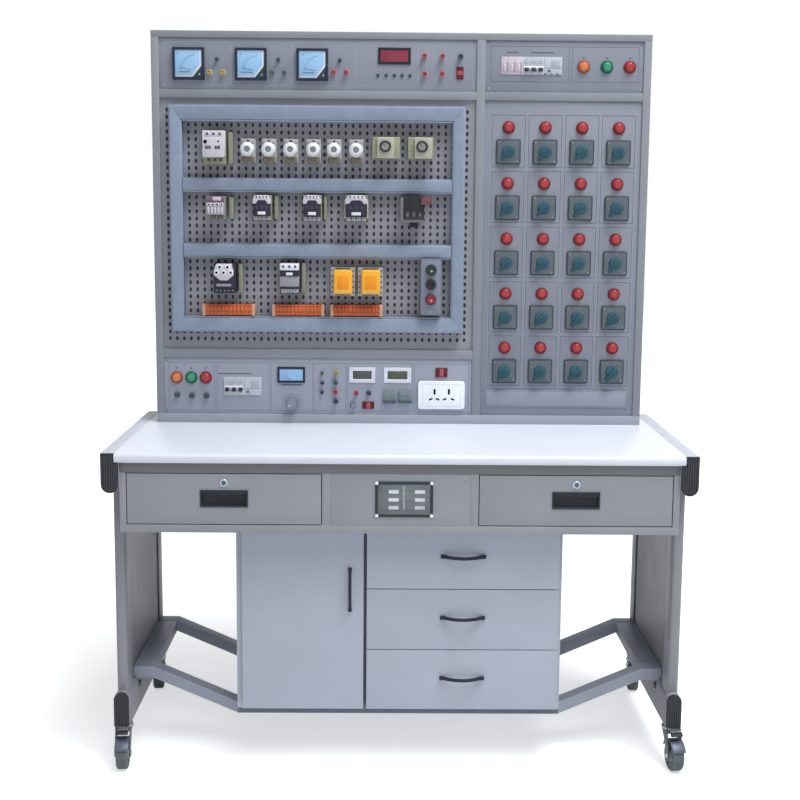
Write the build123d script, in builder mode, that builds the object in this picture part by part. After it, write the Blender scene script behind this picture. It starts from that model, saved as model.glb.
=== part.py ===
from build123d import *
import os
from math import cos, radians, sin

os.makedirs("parts", exist_ok=True)

# Electrical control training bench: a console of switchgear that stands on a wheeled worktable.
# Millimetres, +Z up. The origin lies on the floor under the middle of the table.
# X runs to the right and Y runs from the front edge of the worktop to the back.

# Table
bench_width = 1400.0
bench_depth = 650.0
table_height = 790.0
half_width = bench_width / 2
front = -bench_depth / 2
back = bench_depth / 2

# Clearances
joint_gap = 0.3  # between a piece and its neighbour
running_gap = 0.05  # round a shaft in its bore
slide_gap = 0.5  # beside and under a drawer

# Worktop
worktop_thickness = 23.0
worktop_ledge = 32.0  # visible width of each side beam's top
worktop_nose = 9.0  # radius of the front edge

# Side frames: a hollow top beam, two posts with a thin panel between them, and a foot beam
beam_width = 42.0
beam_height = 95.0
tube_wall = 2.0
cap_length = 10.0
post_thickness = 27.0
post_outset = 13.0  # from the bench's outer face to the post's
post_depth = 60.0
post_setback = 75.0
post_nose = 10.0
panel_recess = 4.0
sheet = 1.5
foot_width = 37.0
foot_outset = 8.0
foot_bottom = 104.0
foot_top = 190.0
foot_setback = 50.0

# Base frame that carries the pedestal
rail_depth = 45.0
rail_height = 30.0
rail_setback = 170.0
rear_rail_setback = 545.0
side_rail_top = 215.0
centre_rail_top = 125.0
rail_bend_outer = half_width - 87.0
bolt_radius = 8.0
bolt_head = 6.0
bolt_height = 164.0

# Casters
wheel_radius = 37.5
wheel_width = 28.0
tread_radius = 6.0
caster_trail = 30.0
caster_setback = 30.0  # of each swivel axis from the end of the foot beam
axle_radius = 4.0
stem_radius = 5.5
stem_length = 26.0
cheek_gap = 2.0
cheek_thickness = 2.5
cheek_margin = 2.0  # of a cheek round the axle nut
cheek_front_share = 0.6  # of the fork's radius
cheek_rear_share = 0.8
hub_gap = 0.4
hub_share = 0.32  # of the wheel's radius
fork_radius = 24.0
fork_crown = 14.0
axle_nut_radius = 7.0
axle_nut_length = 3.0
stem_hole_margin = 1.0  # round a stem in the wall of the foot beam
pedal_reach = 24.0
pedal_width = 30.0
pedal_thickness = 5.0
pedal_drop = 2.0  # below the top of the fork
pedal_root_share = 0.5  # of the fork's radius
pedal_slope = 0.35
headings = {
    "front_left": 4.0,
    "front_right": 8.0,
    "rear_left": 184.0,
    "rear_right": 176.0,
}

# Apron with two drawers and a window
apron_setback = 12.0
apron_top = table_height - 30.0
apron_bottom = table_height - 190.0
apron_rear = 600.0  # behind the worktop's front edge
face_depth = 8.0
face_top_strip = 17.0
face_bottom_strip = 19.0
face_stile = 15.0
centre_panel_half = 165.0
middle_stile = 19.0
front_gap = 2.0
apron_drawer_reach = 440.0
apron_drawer_headroom = 8.0
pull_width = 113.0
pull_height = 41.0
pull_depth = 14.0
pull_wall = 2.5
pull_lift = 1.0  # of the pull's middle above the drawer front's
lock_radius = 9.5
lock_drop = 23.0  # of the lock's middle below the top of its opening
lock_flange = 3.0
lock_barrel = 0.8  # share of the flange's radius
window_left = -59.0
window_right = 77.0
window_low = apron_bottom + 40.5
window_high = apron_bottom + 125.5
window_rim = 7.0
window_proud = 3.0
window_box_depth = 60.0
cover_thickness = 2.0
module_columns = 2
module_rows = 3
module_depth = 26.0
module_gap = 4.0
spacer_depth = 20.0  # of the strips that carry the worktop on the apron

# Pedestal
pedestal_half = 396.0
rail_bend_inner = pedestal_half + 9.0  # where the cross rails of the base frame start to rise
pedestal_setback = 93.0
pedestal_rear = 570.0
board_thickness = 18.0
back_panel_thickness = 6.0
front_board = 18.0
door_left = -381.0
door_right = -86.5
drawers_left = -78.7
drawers_right = 387.0
fronts_bottom = centre_rail_top + 18.5
fronts_top = apron_bottom - 2.0
pedestal_drawers = 3
drawer_wall = 12.0
drawer_base = 6.0
drawer_headroom = 33.0  # of a drawer box under its front's upper edge
drawer_reach = 450.0
drawer_floor_lift = 12.0  # of a drawer box above its front's lower edge
shelf_height = 350.0
shelf_setback = 20.0
runner_height = 8.0
runner_margin = 2.0  # of a runner's width against the drawer's wall
runner_shortfall = 30.0  # of a runner against the drawer's reach
handle_centres = 96.0
handle_projection = 26.0
handle_thickness = 7.0
handle_width = 9.0
handle_round = 2.0
handle_lift = 6.0
door_handle_x = -119.0
door_handle_z = fronts_top - 152.0

# Console
console_half = half_width - 57.0
console_height = 1014.0
console_setback = 458.0
console_rear = 648.0
bar_depth = 8.0
stile_width = 20.0
top_bar = 17.0
bottom_bar = 24.0
skin = 2.0
panel_face_recess = 4.0
panel_thickness = 2.0
pegboard_thickness = 2.0
pegboard_lap = 8.0
spread = console_half / 643.0  # 1 at the width that the places across the console's front are given for
rise = console_height / 1014.0  # 1 at the height that the places up the console's front are given for


def spaced(*places):
    """Places across the console's front, which move in and out with its width."""
    return tuple(place * spread for place in places)


def moved(left, right):
    """A span of fixed length whose middle moves in and out with the console's width."""
    shift = (left + right) / 2 * (spread - 1)
    return (left + shift, right + shift)


def up(height):
    """A height on the console's front, which follows the table's height and the console's."""
    return table_height + (height - 790.0) * rise


def lifted(low, high):
    """A span of fixed length whose middle follows the table's height and the console's."""
    shift = up((low + high) / 2) - (low + high) / 2
    return (low + shift, high + shift)


mullion_left, mullion_right = spaced(193.0, 215.0)
upper_rail_low = up(1636.0)
upper_rail_high = up(1657.0)
lower_rail_low = up(964.0)
lower_rail_high = up(987.0)

# Wiring ducts, a rectangle with two shelves across it
duct_left, duct_right = spaced(-597.0, 165.0)
duct_low = up(1034.0)
duct_high = up(1618.0)
duct_side_width = 33.0
duct_top_width = 40.0 * rise
duct_shelf_bands = ((up(1398.0), up(1433.0)), (up(1229.0), up(1264.0)))
duct_depth = 32.0
duct_edge = 4.0

# Cam switches, four columns by five rows, each below its lamp
switch_columns = 4
switch_rows = 5
switch_first_x = 278.0 * spread
switch_pitch_x = 95.3 * spread
switch_first_z = up(1505.5)
switch_pitch_z = 143.2 * rise
switch_plate = 64.0
switch_plate_depth = 6.0
switch_block = 46.0
switch_block_depth = 60.0
neck_radius = 11.0
knob_radius = 17.0
knob_base_depth = 8.0
knob_grip_depth = 14.0
knob_grip_length = 47.0
knob_grip_width = 11.0
knob_grip_shift = 7.0  # of the grip's middle towards its tail
knob_grip_angle = 50.0
shaft_radius = 3.0
shaft_length = 30.0
shaft_end_gap = 1.0

# Pilot lamps
lamp_rise = 62.5  # of each lamp above its switch
lamp_bezel_radius = 16.5
lamp_lens_radius = 13.5
lamp_body_radius = 10.5
lamp_bezel_depth = 4.0
lamp_lens_depth = 12.0
lamp_body_depth = 38.0
lamp_lens_round = 4.0
top_lamp_x = spaced(468.0, 528.0, 587.0)
top_lamp_z = up(1722.5)
lower_lamp_x = spaced(-590.0, -551.5, -513.0)
lower_lamp_z = up(910.0)

# Meters and displays
meter_size = 81.0
meter_depth = 12.0
meter_body_radius = 30.0
meter_body_depth = 45.0
meter_height = up(1721.0)
meter_centres = spaced(-546.5, -387.0, -229.5)
small_meter_x = moved(-323.0, -250.0)
small_meter_z = lifted(898.0, 940.0)
top_display_x = moved(-61.0, 23.0)
top_display_z = lifted(1724.0, 1766.0)
lower_displays_x = (moved(-133.0, -64.0), moved(-41.0, 31.0))
lower_displays_z = lifted(899.0, 940.0)
display_bezel = 3.0
display_lip = 4.0
display_body_depth = 40.0

# Modular circuit breakers behind cut-outs in the panels
breaker_depth = 58.0
breaker_nose = 3.0  # how far a breaker's nose stands out of its panel
breaker_pole = 18.0
upper_breaker_z = lifted(1702.0, 1746.0)
lower_breaker_z = lifted(864.0, 912.0)
upper_breakers_left = 256.0 * spread
lower_breakers_left = -465.0 * spread
breaker_spacer = 2.0  # between the single breakers and the three-pole one
residual_gap = 0.5  # between a three-pole breaker and its residual-current unit
upper_residual_width = 45.5
lower_residual_width = 44.5
lever_poles = 3
lever_margin = 2.0
hub_inset = 1.0  # of the hub's axis behind the breaker's nose
lever_hub_radius = 6.0
lever_toggle_length = 15.0
lever_toggle_width = 7.0
lever_toggle_thickness = 5.0
lever_rest_angle = 35.0
upper_lever_z = upper_breaker_z[0] + 16.0
lower_lever_z = lower_breaker_z[0] + 20.0

# Regulator on the lower left panel
regulator_x = -285.0 * spread
regulator_z = up(842.0)
regulator_radius = 16.5
regulator_depth = 16.0
regulator_taper = 6.0
regulator_block = 24.0

# Mains socket plate
socket_x = moved(50.0, 174.0)
socket_z = lifted(830.0, 905.0)
socket_depth = 9.0
socket_corner = 8.0
socket_box_depth = 35.0
earth_slots = (-18.0, 20.0)  # from the middle of the plate
live_slots = (-28.0, -10.0, 9.0, 30.0)
earth_slot_z = socket_z[0] + 47.0
live_slot_z = socket_z[0] + 27.0
slot_long = 9.0
slot_short = 3.0
slot_depth = 15.0

# Devices on the pegboard, the contactors as left, right, low and high edges
contactors = (
    (-508.0, -450.0, 1467.0, 1551.0),
    (-499.0, -452.0, 1326.0, 1386.0),
    (-381.0, -333.0, 1326.0, 1389.0),
    (-252.0, -204.0, 1325.0, 1390.0),
    (-143.0, -86.0, 1325.0, 1391.0),
    (-484.0, -427.0, 1137.0, 1214.0),
    (-312.0, -261.0, 1137.0, 1217.0),
)
contactor_base_depth = 45.0
contactor_depth = 66.0
contactor_step = 0.2  # share of the height that each terminal step takes
dial_relays = (spaced(-74.0, -4.0), spaced(17.0, 82.0))
dial_relay_z = (up(1484.5), up(1538.5))
dial_relay_depth = 60.0
dial_x = spaced(-41.0, 53.0)
dial_z = up(1514.5)
dial_radius = 15.0
dial_depth = 6.0
plug_relays = (spaced(-172.0, -124.0), spaced(-100.0, -52.0))
plug_relay_z = (up(1138.0), up(1200.0))
plug_relay_depth = 78.0
relay_sockets = (spaced(-181.5, -118.0), spaced(-110.5, -45.0))
relay_socket_z = (up(1130.0), up(1205.0))
relay_socket_depth = 26.0
isolator_x = spaced(-1.0, 59.0)
isolator_z = (up(1323.0), up(1386.0))
isolator_depth = 62.0
isolator_handle_x = 66.0 * spread
isolator_handle_z = up(1377.0)
isolator_handle_length = 30.0
isolator_handle_width = 19.0
isolator_handle_depth = 12.0
fuse_centres = spaced(-394.0, -340.0, -284.0, -225.5, -172.5, -116.0)
fuse_height = up(1505.0)
fuse_base_width = 38.0
fuse_base_z = (up(1472.0), up(1533.0))
fuse_base_depth = 30.0
fuse_cap_radius = 18.5
fuse_cap_depth = 34.0
strips = (spaced(-516.0, -379.0), spaced(-334.0, -198.0), spaced(-182.0, -46.0))
strip_z = (up(1077.0), up(1107.0))
strip_depth = 32.0
strip_end = 8.0
strip_end_proud = 3.0
strip_notch = 9.0
strip_notch_share = 0.7  # of a pole's width
strip_poles = 10

# Push-button box on the pegboard
button_box_x = spaced(52.0, 107.5)
button_box_z = (up(1082.0), up(1228.5))
button_box_depth = 48.0
button_box_wall = 3.0
button_box_corner = 5.0
button_heights = {"green": up(1200.5), "black": up(1163.5), "red": up(1124.5)}
button_ring_radius = 15.0
button_ring_depth = 5.0
button_radius = 11.0
button_edge = 1.5
button_stand = 6.0
button_length = 22.0
button_travel = 4.0

# Nameplate box
nameplate_x = spaced(230.0, 606.0)
nameplate_z = (up(837.0), up(882.0))
nameplate_depth = 4.0


def facing(y):
    """A plane that looks out of the front at this Y, with its own x and y along X and Z."""
    return Plane((0, y, 0), x_dir=(1, 0, 0), z_dir=(0, -1, 0))


def middle(span):
    """The middle of a (low, high) pair."""
    return (span[0] + span[1]) / 2


def length(span):
    """The length of a (low, high) pair."""
    return span[1] - span[0]


def board(x, y, z):
    """A straight board, bar or sheet between two corners, given as (low, high) pairs."""
    with BuildPart() as piece:
        with Locations((middle(x), middle(y), middle(z))):
            Box(length(x), length(y), length(z))
    return piece.part


def turned(centre, outline):
    """A turned solid about the line through (x, z) from front to back, from (radius, y) corners."""
    x, z = centre
    with BuildPart() as piece:
        with BuildSketch(Plane.XY.offset(z)):
            with BuildLine():
                Polyline(*[(x + radius, y) for radius, y in outline], close=True)
            make_face()
        revolve(axis=Axis((x, 0, z), (0, 1, 0)))
    return piece.part


def write(name, pieces):
    """Label a node and write its solids to one file."""
    node = Compound(label=name, children=list(pieces))
    export_step(node, "parts/" + name + ".step")


# Worktop
ledge_inner = half_width - worktop_ledge
worktop_low = table_height - worktop_thickness

with BuildPart() as worktop:
    with Locations((0, 0, table_height - worktop_thickness / 2)):
        Box(2 * (ledge_inner - joint_gap), bench_depth, worktop_thickness)
    front_edges = worktop.edges().filter_by(Axis.X).group_by(Axis.Y)[0]
    fillet(front_edges, worktop_nose)
worktop.part.label = "worktop"
export_step(worktop.part, "parts/worktop.step")


# Side frames
beam_centre = half_width - beam_width / 2
post_outer = half_width - post_outset
post_inner = post_outer - post_thickness
foot_centre = half_width - foot_outset - foot_width / 2
cap_front = front + cap_length
cap_back = back - cap_length
foot_front = front + foot_setback
foot_back = back - foot_setback
front_post_y = (front + post_setback, front + post_setback + post_depth)
rear_post_y = (back - post_depth - foot_setback, back - foot_setback)


def beam_outline(side, inset):
    """Outline of a top beam: flat top with a rebate for the worktop and a round underside."""
    outer = half_width - inset
    inner = half_width - beam_width + inset
    ledge = ledge_inner + inset
    top = table_height - inset
    step = worktop_low - inset
    radius = beam_width / 2 - inset
    low_centre = table_height - beam_height + beam_width / 2
    with BuildSketch() as outline:
        with BuildLine():
            Polyline(
                (side * outer, low_centre),
                (side * outer, top),
                (side * ledge, top),
                (side * ledge, step),
                (side * inner, step),
                (side * inner, low_centre),
            )
            ThreePointArc(
                (side * inner, low_centre),
                (side * beam_centre, low_centre - radius),
                (side * outer, low_centre),
            )
        make_face()
    return outline.sketch


def foot_outline(side, inset):
    """Outline of a foot beam: flat underside and round top."""
    half = foot_width / 2 - inset
    low = foot_bottom + inset
    high_centre = foot_top - foot_width / 2
    with BuildSketch() as outline:
        with BuildLine():
            Polyline(
                (side * foot_centre - half, high_centre),
                (side * foot_centre - half, low),
                (side * foot_centre + half, low),
                (side * foot_centre + half, high_centre),
            )
            ThreePointArc(
                (side * foot_centre - half, high_centre),
                (side * foot_centre, high_centre + half),
                (side * foot_centre + half, high_centre),
            )
        make_face()
    return outline.sketch


def along_y(profile, y):
    """Run an X-Z outline from one Y to another."""
    placed = facing(y[0]).location * profile
    return extrude(placed, amount=length(y), dir=(0, 1, 0))


def tube_along_y(outline, side, y):
    """A hollow beam with open ends."""
    outer = along_y(outline(side, 0), y)
    bore = along_y(outline(side, tube_wall), y)
    with BuildPart() as tube:
        add(outer)
        add(bore, mode=Mode.SUBTRACT)
    return tube.part


def between_beams(side, x, y, nose=0.0, wall=0.0):
    """An upright from the foot beam to the top beam, cut to sit against both."""
    low = foot_top - foot_width / 2
    high = table_height - beam_height + beam_width / 2
    inner = side * x[0]
    outer = side * x[1]
    beam = along_y(beam_outline(side, 0), (front, back))
    foot = along_y(foot_outline(side, 0), (front, back))
    with BuildPart() as upright:
        with BuildSketch(Plane.XY.offset(low)):
            with Locations(((inner + outer) / 2, middle(y))):
                Rectangle(abs(outer - inner), length(y))
            if nose:
                corners = vertices().group_by(Axis.Y)[0 if y[0] < 0 else -1]
                fillet(corners, nose)
            if wall:
                offset(amount=-wall, mode=Mode.SUBTRACT, kind=Kind.INTERSECTION)
        extrude(amount=high - low)
        add(beam, mode=Mode.SUBTRACT)
        add(foot, mode=Mode.SUBTRACT)
    return upright.part


stem_bores = {}
for name in headings:
    end = foot_front + caster_setback if name.startswith("front") else foot_back - caster_setback
    side = -1 if name.endswith("left") else 1
    stem_bores[name] = (side * foot_centre, end)

foot_cap_front = foot_front + cap_length
foot_cap_back = foot_back - cap_length
frame_solids = []
cap_solids = []
for side in (-1, 1):
    beam = tube_along_y(beam_outline, side, (cap_front, cap_back))
    foot = tube_along_y(foot_outline, side, (foot_cap_front, foot_cap_back))
    with BuildPart() as drilled_foot:
        add(foot)
        for place in stem_bores.values():
            with Locations((place[0], place[1], foot_bottom)):
                Cylinder(stem_radius + stem_hole_margin, 4 * tube_wall, mode=Mode.SUBTRACT)
    frame_solids.append(beam)
    frame_solids.append(drilled_foot.part)
    for post_y in (front_post_y, rear_post_y):
        frame_solids.append(between_beams(side, (post_inner, post_outer), post_y, post_nose, tube_wall))
    panel_y = (front_post_y[1], rear_post_y[0])
    for face in (post_inner + panel_recess, post_outer - panel_recess - sheet):
        frame_solids.append(between_beams(side, (face, face + sheet), panel_y))
    for cap_y in ((front, cap_front), (cap_back, back)):
        cap_solids.append(along_y(beam_outline(side, 0), cap_y))
    for cap_y in ((foot_front, foot_cap_front), (foot_cap_back, foot_back)):
        cap_solids.append(along_y(foot_outline(side, 0), cap_y))

for place in stem_bores.values():
    with BuildPart() as socket:
        with Locations((place[0], place[1], foot_bottom + tube_wall + stem_length / 2)):
            Box(foot_width - 2 * tube_wall, foot_width - 2 * tube_wall, stem_length)
            Cylinder(stem_radius + running_gap, stem_length, mode=Mode.SUBTRACT)
    frame_solids.append(socket.part)

write("side_frames", frame_solids)
write("frame_end_caps", cap_solids)


# Base frame
rails = []
side_rail_x = (rail_bend_outer, post_inner)
rear_rail_y = (front + rear_rail_setback, front + rear_rail_setback + rail_depth)
front_rail_y = (front + rail_setback, front + rail_setback + rail_depth)
side_rail_low = side_rail_top - rail_height
centre_rail_low = centre_rail_top - rail_height


def slanted_rail(side, y):
    """The sloping stretch between a side member and the middle of a cross rail."""
    with BuildPart() as rail:
        for inset, mode in ((0.0, Mode.ADD), (tube_wall, Mode.SUBTRACT)):
            with BuildSketch(facing(y[0] + inset)):
                with BuildLine():
                    Polyline(
                        (side * rail_bend_outer, side_rail_top - inset),
                        (side * rail_bend_inner, centre_rail_top - inset),
                        (side * rail_bend_inner, centre_rail_low + inset),
                        (side * rail_bend_outer, side_rail_low + inset),
                        close=True,
                    )
                make_face()
            extrude(amount=-(length(y) - 2 * inset), mode=mode)
    return rail.part


def square_tube(x, y, z, bore_along):
    """A hollow bar, open at its two ends along the given axis."""
    inset = [tube_wall, tube_wall, tube_wall]
    inset["XYZ".index(bore_along)] = 0.0
    with BuildPart() as tube:
        with Locations((middle(x), middle(y), middle(z))):
            Box(length(x), length(y), length(z))
            Box(
                length(x) - 2 * inset[0],
                length(y) - 2 * inset[1],
                length(z) - 2 * inset[2],
                mode=Mode.SUBTRACT,
            )
    return tube.part


for rail_y in (front_rail_y, rear_rail_y):
    centre_x = (-rail_bend_inner, rail_bend_inner)
    rails.append(square_tube(centre_x, rail_y, (centre_rail_low, centre_rail_top), "X"))
    for side in (-1, 1):
        rails.append(slanted_rail(side, rail_y))

foot_inner = foot_centre - foot_width / 2
for side in (-1, 1):
    member_x = sorted((side * side_rail_x[0], side * side_rail_x[1]))
    member_y = (front_rail_y[0], rear_rail_y[1])
    rails.append(square_tube(member_x, member_y, (side_rail_low, side_rail_top), "Y"))
    packing_x = sorted((side * post_inner, side * (post_inner + panel_recess)))
    packing_y = (front_rail_y[0], rear_post_y[0] - joint_gap)
    rails.append(board(packing_x, packing_y, (foot_top, side_rail_top)))
    for bolt_y in (middle(front_rail_y), rear_rail_y[0] - rail_depth):
        head_plane = Plane((side * foot_inner, bolt_y, bolt_height), x_dir=(0, 1, 0), z_dir=(-side, 0, 0))
        with BuildPart() as bolt:
            with BuildSketch(head_plane):
                RegularPolygon(bolt_radius, 6)
            extrude(amount=bolt_head)
        rails.append(bolt.part)
write("base_frame", rails)


# Casters
fork_top = foot_bottom - joint_gap
cheek_half = wheel_width / 2 + cheek_gap


def caster_planes(place, heading):
    """A level plane under the swivel axis, and an upright one along the way the wheel trails."""
    turn = radians(heading)
    stand = Plane((place[0], place[1], 0), x_dir=(cos(turn), sin(turn), 0), z_dir=(0, 0, 1))
    upright = Plane(stand.origin, x_dir=-stand.y_dir, z_dir=-stand.x_dir)
    return stand, upright


def caster_fork(place, heading):
    """Crown, two cheeks, brake pedal, stem and axle. The wheel trails along the heading."""
    crown_low = fork_top - fork_crown
    crown_middle = fork_top - fork_crown / 2
    cheek_end = axle_nut_radius + cheek_margin
    half_out = cheek_half + cheek_thickness
    stand, side_plane = caster_planes(place, heading)
    with BuildPart() as fork:
        with BuildSketch(stand.offset(crown_low)):
            Circle(fork_radius)
        extrude(amount=fork_crown)
        with BuildSketch(stand.offset(fork_top)):
            Circle(stem_radius)
        extrude(amount=stem_length)
        for cheek in (-half_out, cheek_half):
            with BuildSketch(side_plane.offset(cheek)):
                with BuildLine():
                    Polyline(
                        (-fork_radius * cheek_front_share, crown_middle),
                        (fork_radius * cheek_rear_share, crown_middle),
                        (caster_trail + cheek_end, wheel_radius),
                        (caster_trail, wheel_radius - cheek_end),
                        (caster_trail - cheek_end, wheel_radius),
                        close=True,
                    )
                make_face()
            extrude(amount=cheek_thickness)
        with BuildSketch(side_plane.offset(-half_out)):
            with Locations((caster_trail, wheel_radius)):
                Circle(axle_radius)
        extrude(amount=2 * half_out)
        for start in (-half_out - axle_nut_length, half_out):
            with BuildSketch(side_plane.offset(start)):
                with Locations((caster_trail, wheel_radius)):
                    RegularPolygon(axle_nut_radius, 6)
            extrude(amount=axle_nut_length)
        pedal_end = fork_radius + pedal_reach
        pedal_root = fork_radius * pedal_root_share
        pedal_top = fork_top - pedal_drop
        pedal_tip = pedal_top - pedal_reach * pedal_slope
        with BuildSketch(side_plane.offset(-pedal_width / 2)):
            with BuildLine():
                Polyline(
                    (pedal_root, pedal_top - pedal_thickness),
                    (pedal_root, pedal_top),
                    (pedal_end, pedal_tip),
                    (pedal_end, pedal_tip - pedal_thickness),
                    close=True,
                )
            make_face()
        extrude(amount=pedal_width)
    return fork.part


def caster_wheel(place, heading):
    """A solid wheel with a rounded tread and hub faces that stand a little proud."""
    side_plane = caster_planes(place, heading)[1]
    rim = wheel_width / 2
    hub = cheek_half - hub_gap
    hub_radius = wheel_radius * hub_share
    with BuildPart() as wheel:
        with BuildSketch(side_plane.offset(-rim)):
            with Locations((caster_trail, wheel_radius)):
                Circle(wheel_radius)
        extrude(amount=wheel_width)
        rims = wheel.edges().filter_by(GeomType.CIRCLE)
        fillet(rims, tread_radius)
        with BuildSketch(side_plane.offset(-hub)):
            with Locations((caster_trail, wheel_radius)):
                Circle(hub_radius)
        extrude(amount=2 * hub)
        with BuildSketch(side_plane.offset(-hub)):
            with Locations((caster_trail, wheel_radius)):
                Circle(axle_radius + running_gap)
        extrude(amount=2 * hub, mode=Mode.SUBTRACT)
    return wheel.part


for name, heading in headings.items():
    write("caster_fork_" + name, [caster_fork(stem_bores[name], heading)])
    write("caster_wheel_" + name, [caster_wheel(stem_bores[name], heading)])


# Apron case
apron_face = front + apron_setback
apron_inside = apron_face + face_depth
apron_back = front + apron_rear
apron_half = half_width - beam_width
opening_outer = apron_half - face_stile
opening_inner = centre_panel_half + middle_stile
opening_low = apron_bottom + face_bottom_strip
opening_high = apron_top - face_top_strip
divider_x = centre_panel_half + middle_stile / 2

face_y = (apron_face, apron_inside)
inner_y = (apron_inside, apron_back - sheet)
case = []
case.append(board((-apron_half, apron_half), face_y, (opening_high, apron_top)))
case.append(board((-apron_half, apron_half), face_y, (apron_bottom, opening_low)))
for side in (-1, 1):
    opening_z = (opening_low, opening_high)
    case.append(board(sorted((side * opening_outer, side * apron_half)), face_y, opening_z))
    case.append(board(sorted((side * centre_panel_half, side * opening_inner)), face_y, opening_z))
    wall_x = sorted((side * (apron_half - sheet), side * apron_half))
    case.append(board(wall_x, inner_y, (apron_bottom + sheet, apron_top - sheet)))
    wall_x = sorted((side * divider_x, side * (divider_x + sheet)))
    case.append(board(wall_x, inner_y, (apron_bottom + sheet, apron_top - sheet)))
case.append(board((-apron_half, apron_half), inner_y, (apron_bottom, apron_bottom + sheet)))
case.append(board((-apron_half, apron_half), inner_y, (apron_top - sheet, apron_top)))
back_y = (apron_back - sheet, apron_back)
case.append(board((-apron_half, apron_half), back_y, (apron_bottom, apron_top)))
runner_z = (apron_bottom + sheet, opening_low + front_gap - slide_gap)
runner_y = (apron_inside, apron_face + apron_drawer_reach)
for side in (-1, 1):
    spacer_x = sorted((side * opening_inner, side * opening_outer))
    for spacer_start in (apron_inside, apron_back - 2 * spacer_depth):
        spacer_y = (spacer_start, spacer_start + spacer_depth)
        case.append(board(spacer_x, spacer_y, (apron_top, worktop_low)))
    for edge in (opening_inner + front_gap, opening_outer - front_gap - sheet):
        runner_x = sorted((side * edge, side * (edge + sheet)))
        case.append(board(runner_x, runner_y, runner_z))

window_x = (window_left, window_right)
window_z = (window_low, window_high)
with BuildPart() as centre_panel:
    with BuildSketch(facing(apron_face)):
        with Locations((0, (opening_low + opening_high) / 2)):
            Rectangle(2 * (centre_panel_half - joint_gap), opening_high - opening_low - 2 * joint_gap)
        with Locations((middle(window_x), middle(window_z))):
            Rectangle(
                length(window_x) - 2 * window_rim + 2 * joint_gap,
                length(window_z) - 2 * window_rim + 2 * joint_gap,
                mode=Mode.SUBTRACT,
            )
    extrude(amount=-face_depth)
case.append(centre_panel.part)
write("apron_case", case)


# Window unit in the middle of the apron: a rim and box with small fuse blocks and a clear cover
inner_window_x = (window_x[0] + window_rim, window_x[1] - window_rim)
inner_window_z = (window_z[0] + window_rim, window_z[1] - window_rim)
with BuildPart() as window_box:
    with Locations((middle(window_x), apron_face - window_proud / 2, middle(window_z))):
        Box(length(window_x), window_proud, length(window_z))
    with Locations((middle(window_x), apron_face + window_box_depth / 2, middle(window_z))):
        Box(length(inner_window_x), window_box_depth, length(inner_window_z))
    hollow_depth = window_box_depth + window_proud - panel_thickness
    with Locations((middle(window_x), apron_face - window_proud + hollow_depth / 2, middle(window_z))):
        Box(
            length(inner_window_x) - 2 * panel_thickness,
            hollow_depth,
            length(inner_window_z) - 2 * panel_thickness,
            mode=Mode.SUBTRACT,
        )
window_solids = [window_box.part]
glass_x = (inner_window_x[0] + panel_thickness + joint_gap, inner_window_x[1] - panel_thickness - joint_gap)
glass_z = (inner_window_z[0] + panel_thickness + joint_gap, inner_window_z[1] - panel_thickness - joint_gap)
glass_y = (apron_face - window_proud, apron_face - window_proud + cover_thickness)
window_solids.append(board(glass_x, glass_y, glass_z))
cell_x = length(glass_x) / module_columns
cell_z = length(glass_z) / module_rows
module_back = apron_face + window_box_depth - panel_thickness
for column in range(module_columns):
    for row in range(module_rows):
        low_x = glass_x[0] + column * cell_x + module_gap
        low_z = glass_z[0] + row * cell_z + module_gap / 2
        module_x = (low_x, low_x + cell_x - 2 * module_gap)
        module_z = (low_z, low_z + cell_z - module_gap)
        window_solids.append(board(module_x, (module_back - module_depth, module_back), module_z))
write("window_unit", window_solids)


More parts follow.
